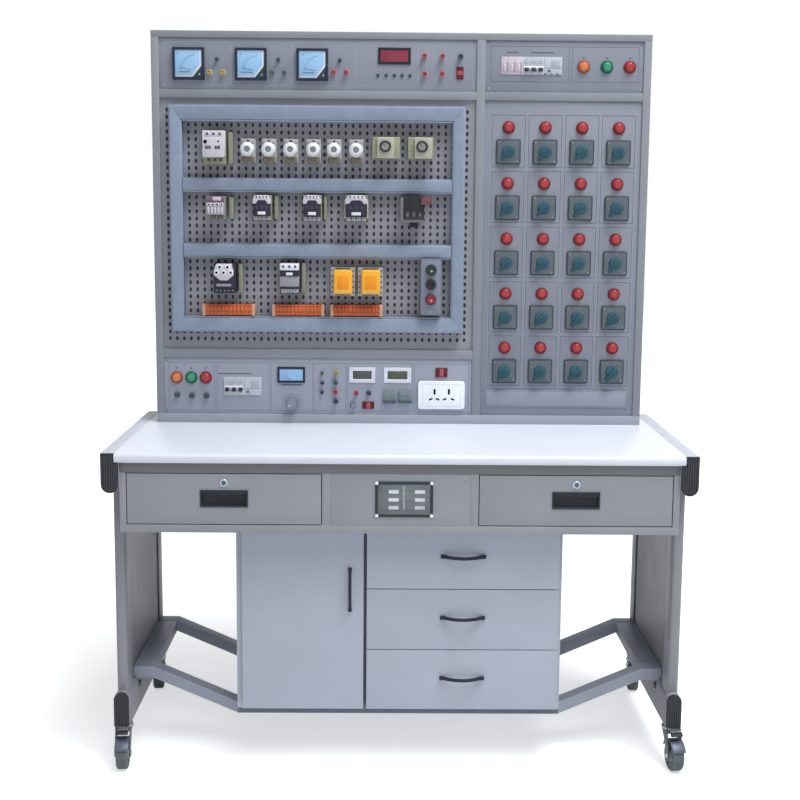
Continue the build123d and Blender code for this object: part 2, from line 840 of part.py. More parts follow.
# Apron drawers: a folded steel front and box, a flush pull and a lock
for side, name in ((-1, "apron_drawer_left"), (1, "apron_drawer_right")):
    front_x = sorted((side * (opening_inner + front_gap), side * (opening_outer - front_gap)))
    front_z = (opening_low + front_gap, opening_high - front_gap)
    pull_x = (middle(front_x) - pull_width / 2, middle(front_x) + pull_width / 2)
    pull_middle = middle(front_z) + pull_lift
    pull_z = (pull_middle - pull_height / 2, pull_middle + pull_height / 2)
    lock_place = (middle(front_x), opening_high - lock_drop)
    with BuildPart() as drawer_front:
        with BuildSketch(facing(apron_face)):
            with Locations((middle(front_x), middle(front_z))):
                Rectangle(length(front_x), length(front_z))
            with Locations((middle(pull_x), middle(pull_z))):
                Rectangle(
                    pull_width - 2 * pull_wall + 2 * joint_gap,
                    pull_height - 2 * pull_wall + 2 * joint_gap,
                    mode=Mode.SUBTRACT,
                )
            with Locations(lock_place):
                Circle(lock_radius * lock_barrel + joint_gap, mode=Mode.SUBTRACT)
        extrude(amount=-sheet)
    with BuildPart() as pull:
        with Locations((middle(pull_x), apron_face - pull_wall / 2, middle(pull_z))):
            Box(pull_width, pull_wall, pull_height)
        with Locations((middle(pull_x), apron_face + pull_depth / 2, middle(pull_z))):
            Box(pull_width - 2 * pull_wall, pull_depth, pull_height - 2 * pull_wall)
        recess_middle = apron_face - pull_wall + pull_depth / 2
        with Locations((middle(pull_x), recess_middle, middle(pull_z))):
            Box(
                pull_width - 4 * pull_wall,
                pull_depth,
                pull_height - 4 * pull_wall,
                mode=Mode.SUBTRACT,
            )
    barrel_radius = lock_radius * lock_barrel
    lock = turned(
        lock_place,
        (
            (0, apron_face - lock_flange),
            (lock_radius, apron_face - lock_flange),
            (lock_radius, apron_face),
            (barrel_radius, apron_face),
            (barrel_radius, apron_face + pull_depth),
            (0, apron_face + pull_depth),
        ),
    )
    box_y = (apron_face + pull_depth + joint_gap, apron_face + apron_drawer_reach)
    box_z = (front_z[0], opening_high - apron_drawer_headroom)
    inner_box_x = (front_x[0] + sheet, front_x[1] - sheet)
    front_board_y = (box_y[0], box_y[0] + sheet)
    rear_board_y = (box_y[1] - sheet, box_y[1])
    floor_y = (front_board_y[1], rear_board_y[0])
    solids = [drawer_front.part, pull.part, lock]
    solids.append(board(inner_box_x, front_board_y, box_z))
    solids.append(board(inner_box_x, rear_board_y, box_z))
    solids.append(board(inner_box_x, floor_y, (box_z[0], box_z[0] + sheet)))
    for edge_x in ((front_x[0], inner_box_x[0]), (inner_box_x[1], front_x[1])):
        solids.append(board(edge_x, box_y, box_z))
        solids.append(board(edge_x, (apron_face + sheet, box_y[0]), front_z))
    write(name, solids)


# Pedestal carcass
carcass_front = front + pedestal_setback
carcass_back = front + pedestal_rear
carcass_low = centre_rail_top
carcass_high = apron_bottom
divider_middle = (door_right + drawers_left) / 2
divider = (divider_middle - board_thickness / 2, divider_middle + board_thickness / 2)
bottom_z = (carcass_low, carcass_low + board_thickness)
top_z = (carcass_high - board_thickness, carcass_high)
side_y = (carcass_front, carcass_back)
inside_y = (carcass_front, carcass_back - back_panel_thickness)
inside_x = (-pedestal_half + board_thickness, pedestal_half - board_thickness)
inside_z = (bottom_z[1], top_z[0])
shelf_y = (carcass_front + shelf_setback, inside_y[1])
carcass = [
    board((-pedestal_half, inside_x[0]), side_y, (carcass_low, carcass_high)),
    board((inside_x[1], pedestal_half), side_y, (carcass_low, carcass_high)),
    board(inside_x, side_y, bottom_z),
    board(inside_x, side_y, top_z),
    board(divider, inside_y, inside_z),
    board(inside_x, (carcass_back - back_panel_thickness, carcass_back), inside_z),
    board((inside_x[0], divider[0]), shelf_y, (shelf_height, shelf_height + board_thickness)),
]

# Pedestal drawers and their runners
front_y = (carcass_front - joint_gap - front_board, carcass_front - joint_gap)
front_pitch = (fronts_top - fronts_bottom + front_gap) / pedestal_drawers
runner_width = drawer_wall - runner_margin


def bow_handle(plane):
    """A bow handle on a plane: both feet on it and the grip arching away from it."""
    half = handle_centres / 2
    edge = handle_thickness
    with BuildPart() as handle:
        with BuildSketch(plane.offset(-handle_width / 2)):
            with BuildLine():
                ThreePointArc((-half - edge, 0), (0, handle_projection), (half + edge, 0))
                Line((half + edge, 0), (half - edge, 0))
                ThreePointArc((half - edge, 0), (0, handle_projection - edge), (-half + edge, 0))
                Line((-half + edge, 0), (-half - edge, 0))
            make_face()
        extrude(amount=handle_width)
        fillet(handle.edges().filter_by(GeomType.CIRCLE), handle_round)
    return handle.part


for index, name in enumerate(("bottom", "middle", "top")):
    low = fronts_bottom + index * front_pitch
    face_z = (low, low + front_pitch - front_gap)
    face_x = (drawers_left, drawers_right)
    box_x = (divider[1] + slide_gap, inside_x[1] - slide_gap)
    box_low = low + drawer_floor_lift
    box_z = (box_low, face_z[1] - drawer_headroom)
    box_y = (front_y[1], front_y[1] + drawer_reach)
    inner_x = (box_x[0] + drawer_wall, box_x[1] - drawer_wall)
    handle_place = (middle(face_x), front_y[0], middle(face_z) + handle_lift)
    handle_plane = Plane(handle_place, x_dir=(-1, 0, 0), z_dir=(0, 0, 1))
    solids = [
        board(face_x, front_y, face_z),
        board((box_x[0], inner_x[0]), box_y, box_z),
        board((inner_x[1], box_x[1]), box_y, box_z),
        board(inner_x, (box_y[1] - drawer_wall, box_y[1]), box_z),
        board(inner_x, (box_y[0], box_y[1] - drawer_wall), (box_z[0], box_z[0] + drawer_base)),
        bow_handle(handle_plane),
    ]
    write("pedestal_drawer_" + name, solids)
    runner_z = (box_low - slide_gap - runner_height, box_low - slide_gap)
    runner_y = (carcass_front, carcass_front + drawer_reach - runner_shortfall)
    carcass.append(board((divider[1], divider[1] + runner_width), runner_y, runner_z))
    carcass.append(board((inside_x[1] - runner_width, inside_x[1]), runner_y, runner_z))
write("pedestal_carcass", carcass)

# Cabinet door
door_x = (door_left, door_right)
door_handle_plane = Plane((door_handle_x, front_y[0], door_handle_z), x_dir=(0, 0, 1), z_dir=(1, 0, 0))
door_solids = [board(door_x, front_y, (fronts_bottom, fronts_top)), bow_handle(door_handle_plane)]
write("cabinet_door", door_solids)


# Console shell
console_low = table_height
console_high = console_low + console_height
console_front = front + console_setback
console_back = front + console_rear
bar_y = (console_front, console_front + bar_depth)
shell_y = (bar_y[1], console_back - skin)
full_x = (-console_half, console_half)
left_inner = -console_half + stile_width
right_inner = console_half - stile_width
top_inner = console_high - top_bar
bottom_inner = console_low + bottom_bar
middle_z = (bottom_inner, top_inner)
shell = [
    board(full_x, bar_y, (top_inner, console_high)),
    board(full_x, bar_y, (console_low, bottom_inner)),
    board((-console_half, left_inner), bar_y, middle_z),
    board((right_inner, console_half), bar_y, middle_z),
    board((mullion_left, mullion_right), bar_y, middle_z),
    board((left_inner, mullion_left), bar_y, (upper_rail_low, upper_rail_high)),
    board((mullion_right, right_inner), bar_y, (upper_rail_low, upper_rail_high)),
    board((left_inner, mullion_left), bar_y, (lower_rail_low, lower_rail_high)),
    board((-console_half, -console_half + skin), shell_y, (console_low, console_high)),
    board((console_half - skin, console_half), shell_y, (console_low, console_high)),
    board((-console_half + skin, console_half - skin), shell_y, (console_high - skin, console_high)),
    board((-console_half + skin, console_half - skin), shell_y, (console_low, console_low + skin)),
    board(full_x, (console_back - skin, console_back), (console_low, console_high)),
]
write("console_shell", shell)


# Places on the panels
panel_face = console_front + panel_face_recess
panel_back = panel_face + panel_thickness
switch_places = []
for row in range(switch_rows):
    for column in range(switch_columns):
        x = switch_first_x + column * switch_pitch_x
        z = switch_first_z - row * switch_pitch_z
        switch_places.append((x, z))
switch_lamps = [(x, z + lamp_rise) for x, z in switch_places]
three_poles = lever_poles * breaker_pole
small_breakers_x = (upper_breakers_left, upper_breakers_left + three_poles)
spacer_x = (small_breakers_x[1], small_breakers_x[1] + breaker_spacer)
upper_breaker_x = (spacer_x[1], spacer_x[1] + three_poles)
upper_residual_left = upper_breaker_x[1] + residual_gap
residual_breaker_x = (upper_residual_left, upper_residual_left + upper_residual_width)
lower_breaker_x = (lower_breakers_left, lower_breakers_left + three_poles)
lower_residual_left = lower_breaker_x[1] + residual_gap
lower_residual_x = (lower_residual_left, lower_residual_left + lower_residual_width)
top_lamps = [(x, top_lamp_z) for x in top_lamp_x]
lower_lamps = [(x, lower_lamp_z) for x in lower_lamp_x]
window_upper_x = (small_breakers_x[0], residual_breaker_x[1])
window_lower_x = (lower_breaker_x[0], lower_residual_x[1])
small_meter = (middle(small_meter_x), middle(small_meter_z))
small_meter_body = length(small_meter_z) / 2 - display_lip


def panel(x, z, discs, windows):
    """A panel sheet with round holes, each as a centre and radius, and rectangular ones."""
    with BuildPart() as sheet_panel:
        with BuildSketch(facing(panel_face)):
            with Locations((middle(x), middle(z))):
                Rectangle(length(x) - 2 * joint_gap, length(z) - 2 * joint_gap)
            for centre, radius in discs:
                with Locations(centre):
                    Circle(radius + joint_gap, mode=Mode.SUBTRACT)
            for wide, high in windows:
                with Locations((middle(wide), middle(high))):
                    Rectangle(length(wide) + 2 * joint_gap, length(high) + 2 * joint_gap, mode=Mode.SUBTRACT)
        extrude(amount=-panel_thickness)
    return sheet_panel.part


def shrunk(span, lip):
    """A span made shorter by a lip at each end."""
    return (span[0] + lip, span[1] - lip)


upper_left_discs = [((x, meter_height), meter_body_radius) for x in meter_centres]
upper_left_windows = [(shrunk(top_display_x, display_lip), shrunk(top_display_z, display_lip))]
upper_right_discs = [(place, lamp_body_radius) for place in top_lamps]
upper_right_windows = [(window_upper_x, upper_breaker_z)]
switch_discs = [(place, neck_radius) for place in switch_places]
switch_discs = switch_discs + [(place, lamp_body_radius) for place in switch_lamps]
lower_left_discs = [(place, lamp_body_radius) for place in lower_lamps]
lower_left_discs = lower_left_discs + [
    ((regulator_x, regulator_z), neck_radius),
    (small_meter, small_meter_body),
]
lower_left_windows = [(window_lower_x, lower_breaker_z)]
lower_left_windows.append((shrunk(socket_x, display_lip), shrunk(socket_z, display_lip)))
for span in lower_displays_x:
    lower_left_windows.append((shrunk(span, display_lip), shrunk(lower_displays_z, display_lip)))

left_panel_x = (left_inner, mullion_left)
right_panel_x = (mullion_right, right_inner)
panels = [
    panel(left_panel_x, (upper_rail_high, top_inner), upper_left_discs, upper_left_windows),
    panel(right_panel_x, (upper_rail_high, top_inner), upper_right_discs, upper_right_windows),
    panel(right_panel_x, (bottom_inner, upper_rail_low), switch_discs, []),
    panel(left_panel_x, (bottom_inner, lower_rail_low), lower_left_discs, lower_left_windows),
    board(nameplate_x, (panel_face - nameplate_depth, panel_face), nameplate_z),
]
write("front_panels", panels)

# Pegboard behind the bay's bars
pegboard_y = (bar_y[1], bar_y[1] + pegboard_thickness)
pegboard = board(
    (left_inner - pegboard_lap, mullion_left + pegboard_lap),
    pegboard_y,
    (lower_rail_high - pegboard_lap, upper_rail_low + pegboard_lap),
)
write("pegboard", [pegboard])
peg_face = pegboard_y[0]


# Wiring ducts
def duct(x, z, ends):
    """A closed duct with bevelled front edges, cut to the outline in ends if one is given."""
    with BuildPart() as piece:
        with Locations((middle(x), peg_face - duct_depth / 2, middle(z))):
            Box(length(x), duct_depth, length(z))
        long_axis = Axis.X if length(x) > length(z) else Axis.Z
        chamfer(piece.edges().filter_by(long_axis).group_by(Axis.Y)[0], duct_edge)
        if ends:
            with BuildSketch(facing(peg_face)):
                with BuildLine():
                    Polyline(*ends, close=True)
                make_face()
            extrude(amount=duct_depth, mode=Mode.INTERSECT)
    return piece.part


duct_inner_left = duct_left + duct_side_width
duct_inner_right = duct_right - duct_side_width
duct_inner_low = duct_low + duct_top_width
duct_inner_high = duct_high - duct_top_width
left_outline = (
    (duct_left, duct_high),
    (duct_left, duct_low),
    (duct_inner_left, duct_inner_low),
    (duct_inner_left, duct_inner_high),
)
right_outline = (
    (duct_right, duct_high),
    (duct_inner_right, duct_inner_high),
    (duct_inner_right, duct_inner_low),
    (duct_right, duct_low),
)
top_outline = (
    (duct_left, duct_high),
    (duct_inner_left, duct_inner_high),
    (duct_inner_right, duct_inner_high),
    (duct_right, duct_high),
)
bottom_outline = (
    (duct_left, duct_low),
    (duct_right, duct_low),
    (duct_inner_right, duct_inner_low),
    (duct_inner_left, duct_inner_low),
)
ducts = [
    duct((duct_left, duct_inner_left), (duct_low, duct_high), left_outline),
    duct((duct_inner_right, duct_right), (duct_low, duct_high), right_outline),
    duct((duct_left, duct_right), (duct_inner_high, duct_high), top_outline),
    duct((duct_left, duct_right), (duct_low, duct_inner_low), bottom_outline),
]
for band in duct_shelf_bands:
    ducts.append(duct((duct_inner_left, duct_inner_right), band, ()))
write("wire_ducts", ducts)


# Rotary controls: plate in front of the panel, neck through it and contact block behind
def control_body(centre, plate, block, block_depth):
    """A rotary control's fixed body, bored for its shaft."""
    x, z = centre
    with BuildPart() as control:
        with Locations((x, panel_face - switch_plate_depth / 2, z)):
            Box(plate, switch_plate_depth, plate)
        with BuildSketch(facing(panel_face)):
            with Locations(centre):
                Circle(neck_radius)
        extrude(amount=-panel_thickness)
        with Locations((x, panel_back + block_depth / 2, z)):
            Box(block, block_depth, block)
        with BuildSketch(facing(panel_face - switch_plate_depth)):
            with Locations(centre):
                Circle(shaft_radius + running_gap)
        extrude(amount=-(shaft_length + joint_gap), mode=Mode.SUBTRACT)
    return control.part


regulator_place = (regulator_x, regulator_z)
controls = [control_body(place, switch_plate, switch_block, switch_block_depth) for place in switch_places]
controls.append(control_body(regulator_place, regulator_block, regulator_block, shaft_length))
write("rotary_control_bodies", controls)

knob_back = panel_face - switch_plate_depth - joint_gap


def shaft(centre):
    """The round shaft behind a knob, from the knob's back face."""
    outline = (
        (0, knob_back),
        (shaft_radius, knob_back),
        (shaft_radius, knob_back + shaft_length - shaft_end_gap),
        (0, knob_back + shaft_length - shaft_end_gap),
    )
    return turned(centre, outline)


def cam_knob(centre):
    """A round knob with a grip across it, whose tail points down to the left."""
    with BuildPart() as knob:
        with BuildSketch(facing(knob_back)):
            with Locations(centre):
                Circle(knob_radius)
        extrude(amount=knob_base_depth)
        with BuildSketch(facing(knob_back - knob_base_depth)):
            with Locations(Location((centre[0], centre[1], 0), (0, 0, knob_grip_angle))):
                with Locations((-knob_grip_shift, 0)):
                    SlotOverall(knob_grip_length, knob_grip_width)
        extrude(amount=knob_grip_depth)
        add(shaft(centre))
    return knob.part


for number, place in enumerate(switch_places):
    row = number // switch_columns + 1
    column = number % switch_columns + 1
    write("cam_knob_" + str(row) + "_" + str(column), [cam_knob(place)])

with BuildPart() as regulator_knob:
    with BuildSketch(facing(knob_back)):
        with Locations(regulator_place):
            Circle(regulator_radius)
    extrude(amount=regulator_depth, taper=regulator_taper)
    add(shaft(regulator_place))
regulator_knob.part.label = "regulator_knob"
export_step(regulator_knob.part, "parts/regulator_knob.step")


# Pilot lamps
def lamp(centre):
    """Lens, bezel and the body behind the panel."""
    bezel = panel_face - lamp_bezel_depth
    lens = panel_face - lamp_lens_depth
    return turned(
        centre,
        (
            (0, lens),
            (lamp_lens_radius - lamp_lens_round, lens),
            (lamp_lens_radius, lens + lamp_lens_round),
            (lamp_lens_radius, bezel),
            (lamp_bezel_radius, bezel),
            (lamp_bezel_radius, panel_face),
            (lamp_body_radius, panel_face),
            (lamp_body_radius, panel_face + lamp_body_depth),
            (0, panel_face + lamp_body_depth),
        ),
    )


write("pilot_lamps", [lamp(place) for place in switch_lamps + top_lamps + lower_lamps])


# Meters and displays
def round_backed(x, z, depth, body_radius):
    """A square-fronted meter with a round body behind the panel."""
    centre = (middle(x), middle(z))
    with BuildPart() as meter:
        with Locations((centre[0], panel_face - depth / 2, centre[1])):
            Box(length(x), depth, length(z))
        with BuildSketch(facing(panel_face)):
            with Locations(centre):
                Circle(body_radius)
        extrude(amount=-meter_body_depth)
    return meter.part


def flanged(x, z, rim, body_depth):
    """A flat bezel in front of the panel with a box body through its cut-out."""
    with BuildPart() as unit:
        with Locations((middle(x), panel_face - rim / 2, middle(z))):
            Box(length(x), rim, length(z))
        with Locations((middle(x), panel_face + body_depth / 2, middle(z))):
            Box(length(x) - 2 * display_lip, body_depth, length(z) - 2 * display_lip)
    return unit.part


half_meter = meter_size / 2
meters = []
for x in meter_centres:
    meter_x = (x - half_meter, x + half_meter)
    meter_z = (meter_height - half_meter, meter_height + half_meter)
    meters.append(round_backed(meter_x, meter_z, meter_depth, meter_body_radius))
meters.append(round_backed(small_meter_x, small_meter_z, meter_depth / 2, small_meter_body))
meters.append(flanged(top_display_x, top_display_z, display_bezel, display_body_depth))
for span in lower_displays_x:
    meters.append(flanged(span, lower_displays_z, display_bezel, display_body_depth))
write("panel_meters", meters)


# Circuit breakers and their ganged levers
breaker_face = panel_face - breaker_nose
breaker_back = breaker_face + breaker_depth
hub_y = breaker_face + hub_inset


def breaker(x, z, slot=None):
    """A modular breaker. Slot gives the X span and height of the recess for a lever."""
    with BuildPart() as body:
        with Locations((middle(x), middle((breaker_face, breaker_back)), middle(z))):
            Box(length(x), breaker_depth, length(z))
        if slot:
            span, height = slot
            recess = lever_hub_radius + joint_gap
            with Locations((middle(span), hub_y, height)):
                Box(length(span) + 2 * joint_gap, 2 * recess, 2 * recess, mode=Mode.SUBTRACT)
    return body.part


def breaker_lever(x, height):
    """One hub across the poles with a toggle for each pole, tilted down."""
    span = shrunk(x, lever_margin)
    with BuildPart() as lever:
        with BuildSketch(Plane.YZ.offset(span[0])):
            with Locations((hub_y, height)):
                Circle(lever_hub_radius)
        extrude(amount=length(span))
        pole = length(x) / lever_poles
        for number in range(lever_poles):
            start = x[0] + (number + 0.5) * pole - lever_toggle_width / 2
            with BuildSketch(Plane.YZ.offset(start)):
                with Locations(Location((hub_y, height, 0), (0, 0, lever_rest_angle))):
                    with Locations((-lever_toggle_length / 2, 0)):
                        Rectangle(lever_toggle_length, lever_toggle_thickness)
            extrude(amount=lever_toggle_width)
    return lever.part


breakers = []
for number in range(lever_poles):
    low_x = small_breakers_x[0] + number * breaker_pole
    breakers.append(board((low_x, low_x + breaker_pole), (breaker_face, breaker_back), upper_breaker_z))
upper_slot = (shrunk(upper_breaker_x, lever_margin), upper_lever_z)
lower_slot = (shrunk(lower_breaker_x, lever_margin), lower_lever_z)
breakers.append(board(spacer_x, (breaker_face, breaker_back), upper_breaker_z))
breakers.append(breaker(upper_breaker_x, upper_breaker_z, upper_slot))
breakers.append(breaker(residual_breaker_x, upper_breaker_z))
breakers.append(breaker(lower_breaker_x, lower_breaker_z, lower_slot))
breakers.append(breaker(lower_residual_x, lower_breaker_z))
write("circuit_breakers", breakers)
write("breaker_lever_upper", [breaker_lever(upper_breaker_x, upper_lever_z)])
write("breaker_lever_lower", [breaker_lever(lower_breaker_x, lower_lever_z)])


# Mains socket
with BuildPart() as mains_socket:
    with Locations((middle(socket_x), panel_face - socket_depth / 2, middle(socket_z))):
        Box(length(socket_x), socket_depth, length(socket_z))
    fillet(mains_socket.edges().filter_by(Axis.Y), socket_corner)
    with Locations((middle(socket_x), panel_face + socket_box_depth / 2, middle(socket_z))):
        Box(length(socket_x) - 2 * display_lip, socket_box_depth, length(socket_z) - 2 * display_lip)
    with BuildSketch(facing(panel_face - socket_depth)):
        for x in earth_slots:
            with Locations((middle(socket_x) + x, earth_slot_z)):
                Rectangle(slot_short, slot_long)
        for x in live_slots:
            with Locations((middle(socket_x) + x, live_slot_z)):
                Rectangle(slot_short, slot_long)
    extrude(amount=-slot_depth, mode=Mode.SUBTRACT)
mains_socket.part.label = "mains_socket"
export_step(mains_socket.part, "parts/mains_socket.step")


# Switchgear on the pegboard
def contactor(x, z):
    """A contactor: a deep middle with a lower terminal step above and below."""
    step = length(z) * contactor_step
    with BuildPart() as body:
        with Locations((middle(x), peg_face - contactor_base_depth / 2, middle(z))):
            Box(length(x), contactor_base_depth, length(z))
        with Locations((middle(x), peg_face - contactor_depth / 2, middle(z))):
            Box(length(x), contactor_depth, length(z) - 2 * step)
    return body.part


relays = [contactor(spaced(left, right), (up(low), up(high))) for left, right, low, high in contactors]
for span, dial in zip(dial_relays, dial_x):
    with BuildPart() as dial_relay:
        with Locations((middle(span), peg_face - dial_relay_depth / 2, middle(dial_relay_z))):
            Box(length(span), dial_relay_depth, length(dial_relay_z))
        with BuildSketch(facing(peg_face - dial_relay_depth)):
            with Locations((dial, dial_z)):
                Circle(dial_radius)
        extrude(amount=dial_depth)
    relays.append(dial_relay.part)
for span in relay_sockets:
    relays.append(board(span, (peg_face - relay_socket_depth, peg_face), relay_socket_z))
for span in plug_relays:
    relays.append(board(span, (peg_face - plug_relay_depth, peg_face - relay_socket_depth), plug_relay_z))
with BuildPart() as isolator:
    with Locations((middle(isolator_x), peg_face - isolator_depth / 2, middle(isolator_z))):
        Box(length(isolator_x), isolator_depth, length(isolator_z))
    handle_y = peg_face - isolator_depth - isolator_handle_depth / 2
    with Locations((isolator_handle_x, handle_y, isolator_handle_z)):
        Box(isolator_handle_length, isolator_handle_depth, isolator_handle_width)
relays.append(isolator.part)
write("relays_and_contactors", relays)

fuses = []
for x in fuse_centres:
    with BuildPart() as fuse:
        with Locations((x, peg_face - fuse_base_depth / 2, middle(fuse_base_z))):
            Box(fuse_base_width, fuse_base_depth, length(fuse_base_z))
        with BuildSketch(facing(peg_face - fuse_base_depth)):
            with Locations((x, fuse_height)):
                Circle(fuse_cap_radius)
        extrude(amount=fuse_cap_depth)
    fuses.append(fuse.part)
write("fuse_holders", fuses)

strip_solids = []
for span in strips:
    body_x = shrunk(span, strip_end)
    pole = length(body_x) / strip_poles
    with BuildPart() as strip:
        with Locations((middle(body_x), peg_face - strip_depth / 2, middle(strip_z))):
            Box(length(body_x), strip_depth, length(strip_z))
        notch_y = peg_face - strip_depth + strip_notch / 2
        for number in range(strip_poles):
            with Locations((body_x[0] + (number + 0.5) * pole, notch_y, strip_z[1] - strip_notch / 2)):
                Box(pole * strip_notch_share, strip_notch, strip_notch, mode=Mode.SUBTRACT)
    strip_solids.append(strip.part)
    for end_x in ((span[0], body_x[0]), (body_x[1], span[1])):
        strip_solids.append(board(end_x, (peg_face - strip_depth - strip_end_proud, peg_face), strip_z))
write("terminal_strips", strip_solids)


# Push-button box and its buttons
box_face = peg_face - button_box_depth
ring_face = box_face - button_ring_depth
button_x = middle(button_box_x)
with BuildPart() as button_box:
    with Locations((button_x, peg_face - button_box_depth / 2, middle(button_box_z))):
        Box(length(button_box_x), button_box_depth, length(button_box_z))
    fillet(button_box.edges().filter_by(Axis.Y), button_box_corner)
    inside_depth = button_box_depth - button_box_wall
    with Locations((button_x, peg_face - inside_depth / 2, middle(button_box_z))):
        Box(
            length(button_box_x) - 2 * button_box_wall,
            inside_depth,
            length(button_box_z) - 2 * button_box_wall,
            mode=Mode.SUBTRACT,
        )
    with BuildSketch(facing(box_face)):
        for height in button_heights.values():
            with Locations((button_x, height)):
                Circle(button_ring_radius)
    extrude(amount=button_ring_depth)
    with BuildSketch(facing(ring_face)):
        for height in button_heights.values():
            with Locations((button_x, height)):
                Circle(button_radius + joint_gap)
    extrude(amount=-(button_ring_depth + button_box_wall), mode=Mode.SUBTRACT)
button_box.part.label = "button_box"
export_step(button_box.part, "parts/button_box.step")

for colour, height in button_heights.items():
    button_face = ring_face - button_stand
    outline = (
        (0, button_face),
        (button_radius - button_edge, button_face),
        (button_radius, button_face + button_edge),
        (button_radius, button_face + button_length),
        (0, button_face + button_length),
    )
    write("push_button_" + colour, [turned((button_x, height), outline)])
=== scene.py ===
from math import atan2, cos, degrees, pi, radians, sin, sqrt

import bmesh
import bpy
from bpy.props import FloatProperty, FloatVectorProperty, PointerProperty
from bpy.types import Operator, Panel, PropertyGroup
from mathutils import Matrix, Vector


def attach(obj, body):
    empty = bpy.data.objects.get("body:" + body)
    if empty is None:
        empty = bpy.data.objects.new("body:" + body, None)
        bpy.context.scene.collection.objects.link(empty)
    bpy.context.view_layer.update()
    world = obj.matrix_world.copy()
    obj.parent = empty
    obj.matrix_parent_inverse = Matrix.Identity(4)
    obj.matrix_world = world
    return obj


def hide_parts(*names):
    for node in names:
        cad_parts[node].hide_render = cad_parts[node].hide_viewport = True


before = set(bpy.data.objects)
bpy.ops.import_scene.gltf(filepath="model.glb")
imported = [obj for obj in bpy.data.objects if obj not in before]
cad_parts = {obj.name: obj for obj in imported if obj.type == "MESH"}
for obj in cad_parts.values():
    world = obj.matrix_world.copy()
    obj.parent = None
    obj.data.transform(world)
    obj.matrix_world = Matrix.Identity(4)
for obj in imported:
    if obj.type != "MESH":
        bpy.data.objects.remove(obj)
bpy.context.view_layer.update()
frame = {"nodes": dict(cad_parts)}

bl_info = {
    "name": "Electrical Control Training Bench",
    "version": (1, 0, 0),
    "blender": (4, 5, 0),
    "location": "View3D > Sidebar > Bench",
    "description": "Builds a wheeled worktable with an upright console of meters, switchgear and cam switches",
    "category": "Object",
}

# Pieces are drawn in millimetres and made metres when they are finished.
MM = 0.001

# How far back things stand: the console's bars, its panels and its pegboard,
# a switchgear's foot, the step in its body and its front
BAR, PANEL, PEG = 133.0, 137.0, 141.0
BASE, STEP, FRONT = PEG - 45, PEG - 55, PEG - 66

# Faces narrower than these many metres are shaded smooth, and count as rubbed edges
SMOOTH_WIDTH, EDGE_WIDTH = 0.009, 0.0022

# Angles in degrees: edges sharper than the first are rounded, and sharper than the second shaded sharp
ROUNDED_ANGLE, SHARP_ANGLE = 40, 38

# How far a surface's gloss goes up and down, as a share of it
GLOSS_SPREAD = 0.18


def paint(red, green, blue):
    """A colour as seen on a screen, from 0 to 255, made linear."""
    shares = [part / 255 for part in (red, green, blue)]
    return tuple(s / 12.92 if s <= 0.04045 else ((s + 0.055) / 1.055) ** 2.4 for s in shares)


def tone(name, about, *colour):
    """A colour setting."""
    return FloatVectorProperty(
        name=name, description=about, subtype="COLOR", size=3, min=0.0, max=1.0, default=paint(*colour)
    )


def amount(name, about, default, low, high, unit="NONE"):
    """A number setting."""
    return FloatProperty(name=name, description=about, default=default, min=low, max=high, unit=unit)


class BenchColours(PropertyGroup):
    """Colours that a user may change."""

    worktop: tone("Worktop", "Laminate of the worktop", 226, 232, 244)
    frame: tone("Side frames", "Paint of the beams, posts and feet", 143, 144, 151)
    apron: tone("Apron", "Paint of the apron and its drawers", 149, 152, 160)
    fronts: tone("Pedestal fronts", "Laminate of the door and drawer fronts", 178, 186, 201)
    carcass: tone("Pedestal carcass", "Laminate of the pedestal's boards", 194, 200, 212)
    console: tone("Console frame", "Paint of the console's bars and shell", 139, 144, 152)
    panels: tone("Console panels", "Paint of the instrument panels", 137, 142, 155)
    pegboard: tone("Pegboard", "Paint of the perforated board", 147, 148, 156)
    ducts: tone("Wiring ducts", "Plastic of the wiring ducts", 138, 151, 171)
    knobs: tone("Cam-switch knobs", "Plastic of the switch knobs", 48, 86, 99)
    lamp_red: tone("Red lamps", "Lens of the red pilot lamps", 172, 62, 64)
    lamp_orange: tone("Orange lamps", "Lens of the orange pilot lamps", 218, 134, 84)
    lamp_green: tone("Green lamps", "Lens of the green pilot lamps", 62, 156, 120)


class BenchDetails(PropertyGroup):
    """Sizes of the details."""

    slot_width: amount("Slot width", "Width of the pegboard's slots", 0.007, 0.002, 0.012, "LENGTH")
    slot_height: amount("Slot height", "Height of the pegboard's slots", 0.0108, 0.002, 0.016, "LENGTH")
    knob_turn: amount("Knob angle", "Angle at which the cam-switch grips point", radians(50), 0.0, pi, "ROTATION")


class BenchStage(PropertyGroup):
    """Light and floor."""

    sky: amount("Sky", "Strength of the light from all round", 0.22, 0.0, 2.0)
    key: amount("Key lamp", "Power of the soft lamp above the front", 258.0, 0.0, 2000.0, "POWER")
    fill: amount("Fill lamp", "Power of the wide high lamp in front", 302.0, 0.0, 1000.0, "POWER")
    low: amount("Low lamp", "Power of the weak low lamp in front", 22.0, 0.0, 1000.0, "POWER")
    floor: tone("Floor", "Colour of the studio floor", 246, 247, 249)


